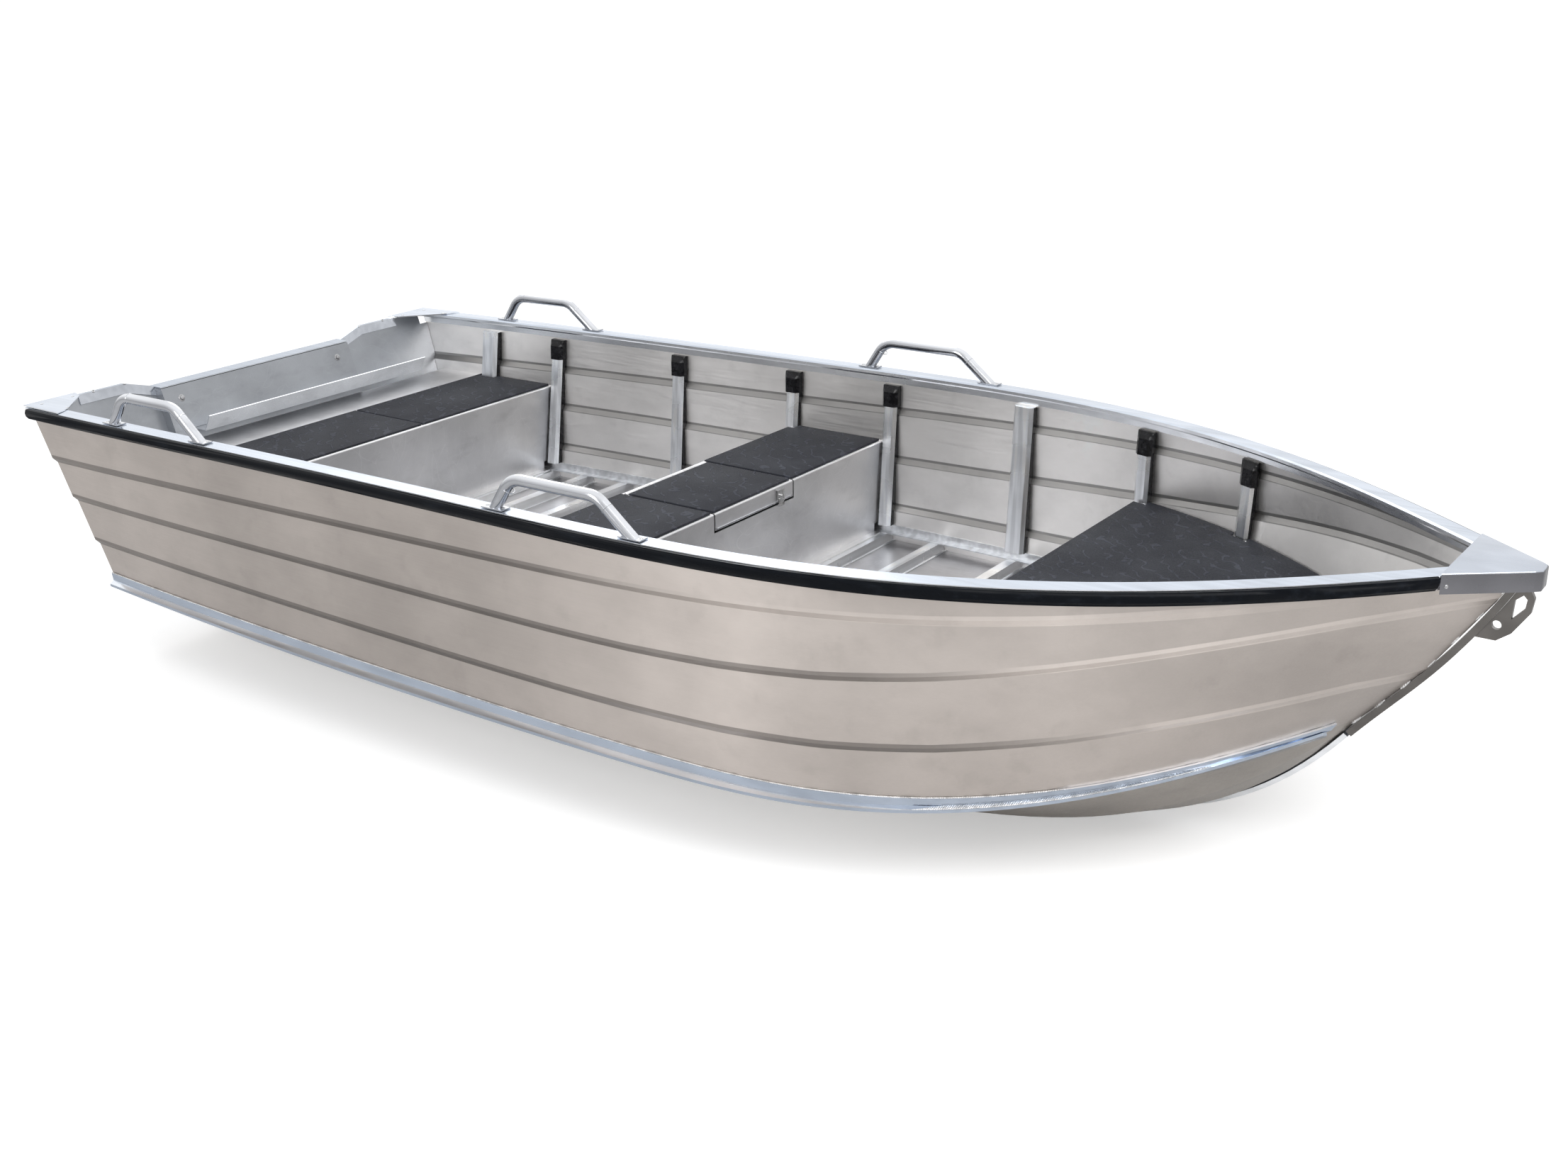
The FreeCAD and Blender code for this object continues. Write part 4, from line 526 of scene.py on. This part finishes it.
def drop(master):
    """Takes away a piece that was only there to be copied."""
    only(master)
    bpy.ops.object.delete()


# Pieces that take a CAD node's place, with finer edges
MAT_ROUND = 0.0014
CAP_ROUND = 0.006
STRIP_ROUND = 0.005
STRIP_END = 0.004


def foam_sheet(node, body):
    """A foam mat with its cut edges rounded over."""
    piece = copy_of(node, node + "_foam")
    bevelled(piece, MAT_ROUND, sharper_than=40)
    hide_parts(node)
    seat(piece, body, mat_foam)


def bow_cap_pressed():
    """The bow cap with its top edges pressed round, except at its open end."""
    piece = copy_of("bow_cap", "bow_cap_pressed")
    low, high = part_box("bow_cap")

    def along_top(edge):
        return reach(piece, edge, Z)[0] > high[Z] - NEAR and reach(piece, edge, X)[1] > low[X] + NEAR
    pick(piece, "EDGE", along_top)
    bpy.ops.mesh.bevel(offset=CAP_ROUND, segments=5)
    done()
    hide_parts("bow_cap")
    seat(piece, "hull", cap_metal)


def fender_ended(side):
    """The rubber strip with its stern end rounded off."""
    node = "fender_strip_" + side
    piece = copy_of(node, node + "_rubber")
    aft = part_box(node)[0][X] + STRIP_END
    pick(piece, "EDGE", lambda edge: reach(piece, edge, X)[1] < aft)
    bpy.ops.mesh.bevel(offset=STRIP_ROUND, segments=4)
    done()
    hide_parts(node)
    seat(piece, "hull", fender_rubber)


# Painted shadow strips and welds that lie on faces of a CAD node
SHADOW_STRIP_THICKNESS = 0.0015
SHADOW_STRIP_FACING = 0.9
CHINE_WELD_THICKNESS = 0.0022
CHINE_WELD_ROUND = 0.0009
CHINE_WELD_FACING = 0.955
CHINE_WELD_AFT = -1.745


def frame_shadow_strips(side):
    """Black strips along the forward side of each frame: painted shadow, a dark sheet where the gap by the
    frame lies in shade.
    """
    piece = copy_of("side_frames_" + side, "frame_shadow_strips_" + side)
    pick(piece, "FACE", lambda face: face.normal.x < SHADOW_STRIP_FACING)
    bpy.ops.mesh.delete(type="FACE")
    done()
    modified(piece, "SOLIDIFY", thickness=SHADOW_STRIP_THICKNESS, offset=1.0)
    # Painted shadow: the strips take the glossy black of the frame caps
    seat(piece, "hull", cap_plastic)


def chine_weld(side):
    """The weld bead along the upper edge of the chine rail."""
    piece = copy_of("chine_rail_" + side, "chine_weld_" + side)
    pick(piece, "FACE",
         lambda face: face.normal.z < CHINE_WELD_FACING or face.center.x < CHINE_WELD_AFT)
    bpy.ops.mesh.delete(type="FACE")
    done()
    modified(piece, "SOLIDIFY", thickness=CHINE_WELD_THICKNESS, offset=1.0)
    bevelled(piece, CHINE_WELD_ROUND)
    seat(piece, "hull", bead_metal)


# Screws and bolts
SCREW_RADIUS = 0.0045
SCREW_HEIGHT = 0.0022
SCREW_ROUND = 0.0012
SCREW_DISH = 0.0007
WASHER_RADIUS = 0.011
WASHER_HEIGHT = 0.0016
BOLT_RADIUS = 0.0072
BOLT_HEIGHT = 0.0052
BOLT_ROUND = 0.0006
# Places near the screws and bolts, with Y for the port side where they stand on both
CAP_SCREW = (1.7823, 0.1448, 0.745)
TOP_RAIL_SCREWS = [(-1.905, 0.57, 0.73), (-1.905, 0.46, 0.73)]
TRAY_SCREWS = [(-1.78, across, 0.562) for across in (-0.24, -0.08, 0.08, 0.24, 0.4, 0.56)]
FOOT_SCREW_STEP = 0.024
FEET = [
    ("aft_handle_", (-1.5438, 0.782, 0.7285)), ("aft_handle_", (-1.1869, 0.783, 0.735)),
    ("fore_handle_", (-0.1518, 0.81, 0.7475)), ("fore_handle_", (0.2427, 0.81, 0.7505)),
]
CORNER_SCREWS = [(-1.9, 0.65, 0.725), (-1.9, 0.75, 0.725), (-1.8, 0.74, 0.725)]
BOLT_SIDE = 0.31
BOARD_BOLTS = [
    ("engine_pad_inner", -1.84, 0.655), ("engine_pad_inner", -1.75, 0.40),
    ("engine_pad_outer", -1.91, 0.655), ("engine_pad_outer", -1.83, 0.40),
]


def pan_head():
    """A rounded screw head with a dished top, facing up at the origin."""
    head = added(bpy.ops.mesh.primitive_cylinder_add, vertices=16, radius=SCREW_RADIUS, depth=SCREW_HEIGHT,
                 location=(0, 0, SCREW_HEIGHT / 2))
    pick(head, "EDGE", lambda edge: reach(head, edge, Z)[0] > NEAR)
    bpy.ops.mesh.bevel(offset=SCREW_ROUND, segments=3)
    done()
    pick(head, "FACE", lambda face: face.normal.z > STRAIGHT)
    bpy.ops.mesh.inset(thickness=SCREW_ROUND)
    bpy.ops.transform.translate(value=(0, 0, -SCREW_DISH))
    done()
    return head


def hex_bolt():
    """A bolt head on its washer, facing up at the origin."""
    washer = added(bpy.ops.mesh.primitive_cylinder_add, vertices=24, radius=WASHER_RADIUS,
                   depth=WASHER_HEIGHT, location=(0, 0, WASHER_HEIGHT / 2))
    head = added(bpy.ops.mesh.primitive_cylinder_add, vertices=6, radius=BOLT_RADIUS,
                 depth=BOLT_HEIGHT, location=(0, 0, WASHER_HEIGHT + BOLT_HEIGHT / 2))
    return gathered("bolt_master", [bevelled(part, BOLT_ROUND) for part in (washer, head)])


def beside(place, side):
    """A place given for the port side, taken to the side that is asked for."""
    return place[0], side * place[1], place[2]


def screw_rows():
    """Screws in the bow cap, the transom's rail, tray and corners, and the handles' feet."""
    head = pan_head()
    rows = []
    for side in (-1, 1):
        rows.append(("bow_cap", beside(CAP_SCREW, side)))
        rows += [("transom_top_rail", beside(place, side)) for place in TOP_RAIL_SCREWS]
    rows += [("transom_tray", place) for place in TRAY_SCREWS]
    for side, name in SIDES:
        for stem, foot in FEET:
            for step in (-FOOT_SCREW_STEP, FOOT_SCREW_STEP):
                rows.append((stem + name, beside((foot[0] + step, foot[1], foot[2]), side)))
        rows += [("transom_corner_" + name, beside(place, side)) for place in CORNER_SCREWS]
    places = [on_surface(node, place) for node, place in rows]
    seat(repeated(head, "trim_screws", places), "hull", screw_metal)
    drop(head)


def board_bolts():
    """Bolts through the two engine boards, above and below the tray."""
    bolt = hex_bolt()
    rows = [on_surface(board, (along, across, high))
            for across in (-BOLT_SIDE, BOLT_SIDE) for board, along, high in BOARD_BOLTS]
    seat(repeated(bolt, "engine_board_bolts", rows), "hull", screw_metal)
    drop(bolt)


# Welds of the stem bar: their form, where their ends start and how those are stretched, the ends of
# their row, the way it bulges and their places along it
WELD_FORM = (0.017, 0.0034, 0.0026)
WELD_END = 0.4
WELD_END_FORM = (1.0, 1.1, 0.92)
STEM_SIDE = 0.0175
STEM_FOOT = (1.5794, 0.3269)
STEM_HEAD = (1.8915, 0.7577)
STEM_AHEAD = Vector((0.8098, 0, -0.5867))
STEM_BULGE = 0.012
STEM_WELD_SHARES = (0.06, 0.2, 0.34, 0.48, 0.62, 0.76, 0.9)


def bead():
    """One short run of weld along X, with its ends a little broader and flatter than its middle."""
    run = added(bpy.ops.mesh.primitive_uv_sphere_add, segments=14, ring_count=8, radius=1.0, scale=WELD_FORM)
    pick(run, "FACE", lambda face: abs(face.center.x) > WELD_END)
    bpy.ops.transform.resize(value=WELD_END_FORM)
    done()
    return run


def stem_welds():
    """Short weld runs down both sides of the stem bar."""
    run = bead()
    pieces = []
    for side, name in reversed(SIDES):
        low = Vector((STEM_FOOT[0], side * STEM_SIDE, STEM_FOOT[1]))
        high = Vector((STEM_HEAD[0], side * STEM_SIDE, STEM_HEAD[1]))
        for share in STEM_WELD_SHARES:
            place = low.lerp(high, share) + STEM_AHEAD * (4 * share * (1 - share) * STEM_BULGE)
            spot, _ = on_surface("side_plate_" + name, place)
            pieces.append(stamped(run, spot, (high - low).to_track_quat("X", "Y")))
    seat(gathered("stem_welds", pieces), "hull", bead_metal)
    drop(run)


# Collars pressed on the handles' tubes
COLLAR_RADIUS = 0.0136
COLLAR_THICKNESS = 0.0012


def collar(place, direction):
    """A ring round a tube that runs in a direction."""
    made = added(bpy.ops.mesh.primitive_torus_add, major_segments=40, minor_segments=8,
                 major_radius=COLLAR_RADIUS, minor_radius=COLLAR_THICKNESS)
    made.rotation_euler = Vector(direction).to_track_quat("Z", "X").to_euler()
    made.location = place
    return settled(made)


def handle_collars(side, name):
    """The collars of one side's two grab handles."""
    collars = [
        collar((-1.2543, side * 0.7868, 0.7843), (0.783, side * 0.018, -0.622)),
        collar((-1.462, side * 0.782, 0.8036), (1, side * 0.023, 0.019)),
        collar((0.175, side * 0.8104, 0.8012), (0.778, 0.001, -0.628)),
        collar((-0.109, side * 0.81, 0.795), (0.5, 0.001, 0.866)),
    ]
    seat(gathered("handle_collars_" + name, collars), "hull", tube_metal)


# Fittings on the hatch lid's front flange
CATCH_PLACE = (-0.0955, 0.257, 0.4855)
CATCH_SIZE = (0.009, 0.025, 0.024)
CATCH_ROUND = 0.002
CATCH_RIM = 0.003
CATCH_DISH = 0.0012
HEM_PLACE = (-0.0985, 0.14, 0.4865)
HEM_SIZE = (0.0035, 0.35, 0.006)
HEM_ROUND = 0.0016


def latch_catch():
    """The latch's catch, with a shallow thumb dish in its front."""
    catch = added(bpy.ops.mesh.primitive_cube_add, size=1, location=CATCH_PLACE, scale=CATCH_SIZE)
    catch.name = "hatch_catch"
    bevelled(catch, CATCH_ROUND, segments=3, sharper_than=30)
    pick(catch, "FACE", lambda face: face.normal.x > STRAIGHT)
    bpy.ops.mesh.inset(thickness=CATCH_RIM)
    bpy.ops.transform.translate(value=(-CATCH_DISH, 0, 0))
    done()
    seat(catch, "hatch", fitting_metal)


def lid_hem():
    """The folded hem along the lower edge of the lid's front."""
    hem = added(bpy.ops.mesh.primitive_cube_add, size=1, location=HEM_PLACE, scale=HEM_SIZE)
    hem.name = "hatch_lid_hem"
    bevelled(hem, HEM_ROUND, segments=3, sharper_than=30)
    seat(hem, "hatch", tube_metal)


# A replaced node has no mesh to look places up on, so the small fittings come first.
screw_rows()
board_bolts()
stem_welds()
latch_catch()
lid_hem()
for side, name in SIDES:
    handle_collars(side, name)
for mat, body in (("stern_thwart_mats", "hull"), ("centre_thwart_mats", "hull"), ("hatch_mat", "hatch"),
                  ("bow_platform_mat", "hull")):
    foam_sheet(mat, body)
bow_cap_pressed()
for _, name in SIDES:
    fender_ended(name)
    frame_shadow_strips(name)
    chine_weld(name)

# Floor and light
FLOOR_SIZE = 80
FLOOR_GAP = 0.0005
FLOOR_COLOUR = (0.86, 0.86, 0.86, 1)
FLOOR_ROUGHNESS = 0.9
FLOOR_GLOW = 0.42
SOFT_LIGHT = 0.7


def plain_floor():
    """A pale matt floor, a little brighter to the camera so that it shows white."""
    floor = added(bpy.ops.mesh.primitive_plane_add, size=FLOOR_SIZE, location=(0, 0, -FLOOR_GAP))
    floor.name = "studio_floor"
    material = bpy.data.materials.new("studio_floor_pale")
    material.use_nodes = True
    work = Nodes(material.node_tree)
    shader = work.tree.nodes["Principled BSDF"]
    shader.inputs["Base Color"].default_value = FLOOR_COLOUR
    shader.inputs["Roughness"].default_value = FLOOR_ROUGHNESS
    seen = work.times(work.node("ShaderNodeLightPath").outputs["Is Camera Ray"], FLOOR_GLOW)
    glow = work.node("ShaderNodeEmission", {"Color": WHITE, "Strength": seen})
    both = work.node("ShaderNodeAddShader", {0: shader.outputs["BSDF"], 1: glow.outputs["Emission"]})
    work.tree.links.new(both.outputs["Shader"], work.tree.nodes["Material Output"].inputs["Surface"])
    floor.data.materials.append(material)


def studio_world():
    """A plain soft light, and white wherever the camera or a reflection sees it."""
    world = bpy.data.worlds.new("studio_world")
    world.use_nodes = True
    scene.world = world
    work = Nodes(world.node_tree)
    soft = work.tree.nodes["Background"]
    soft.inputs["Color"].default_value = WHITE
    soft.inputs["Strength"].default_value = SOFT_LIGHT
    white = work.node("ShaderNodeBackground", {"Color": WHITE, "Strength": 1.0})
    path = work.node("ShaderNodeLightPath")
    seen = path.outputs["Is Camera Ray"]
    for ray in ("Is Glossy Ray", "Is Transmission Ray"):
        seen = work.maths("MAXIMUM", seen, path.outputs[ray])
    mix = work.node("ShaderNodeMixShader", {"Fac": seen, 1: soft.outputs["Background"],
                                            2: white.outputs["Background"]})
    work.tree.links.new(mix.outputs["Shader"], work.tree.nodes["World Output"].inputs["Surface"])


def soft_lamp(name, place, aim, size, power):
    """An oblong lamp that shines at a place."""
    data = bpy.data.lights.new(name, "AREA")
    data.shape = "RECTANGLE"
    data.size, data.size_y = size
    data.energy = power
    lamp = bpy.data.objects.new(name, data)
    lamp.location = place
    lamp.rotation_euler = (Vector(aim) - Vector(place)).to_track_quat("-Z", "Y").to_euler()
    scene.collection.objects.link(lamp)


plain_floor()
studio_world()
soft_lamp("lamp_over_bow", place=(3.4, -1.8, 3.8), aim=(-0.2, 0.2, 0.3), size=(3.0, 2.4), power=110)
soft_lamp("lamp_over_stern", place=(-4.0, 3.5, 4.5), aim=(-0.5, 0, 0.4), size=(4.0, 3.0), power=55)
soft_lamp("lamp_beside", place=(-2.0, -5.5, 2.6), aim=(0, 0, 0.4), size=(1.2, 2.6), power=80)
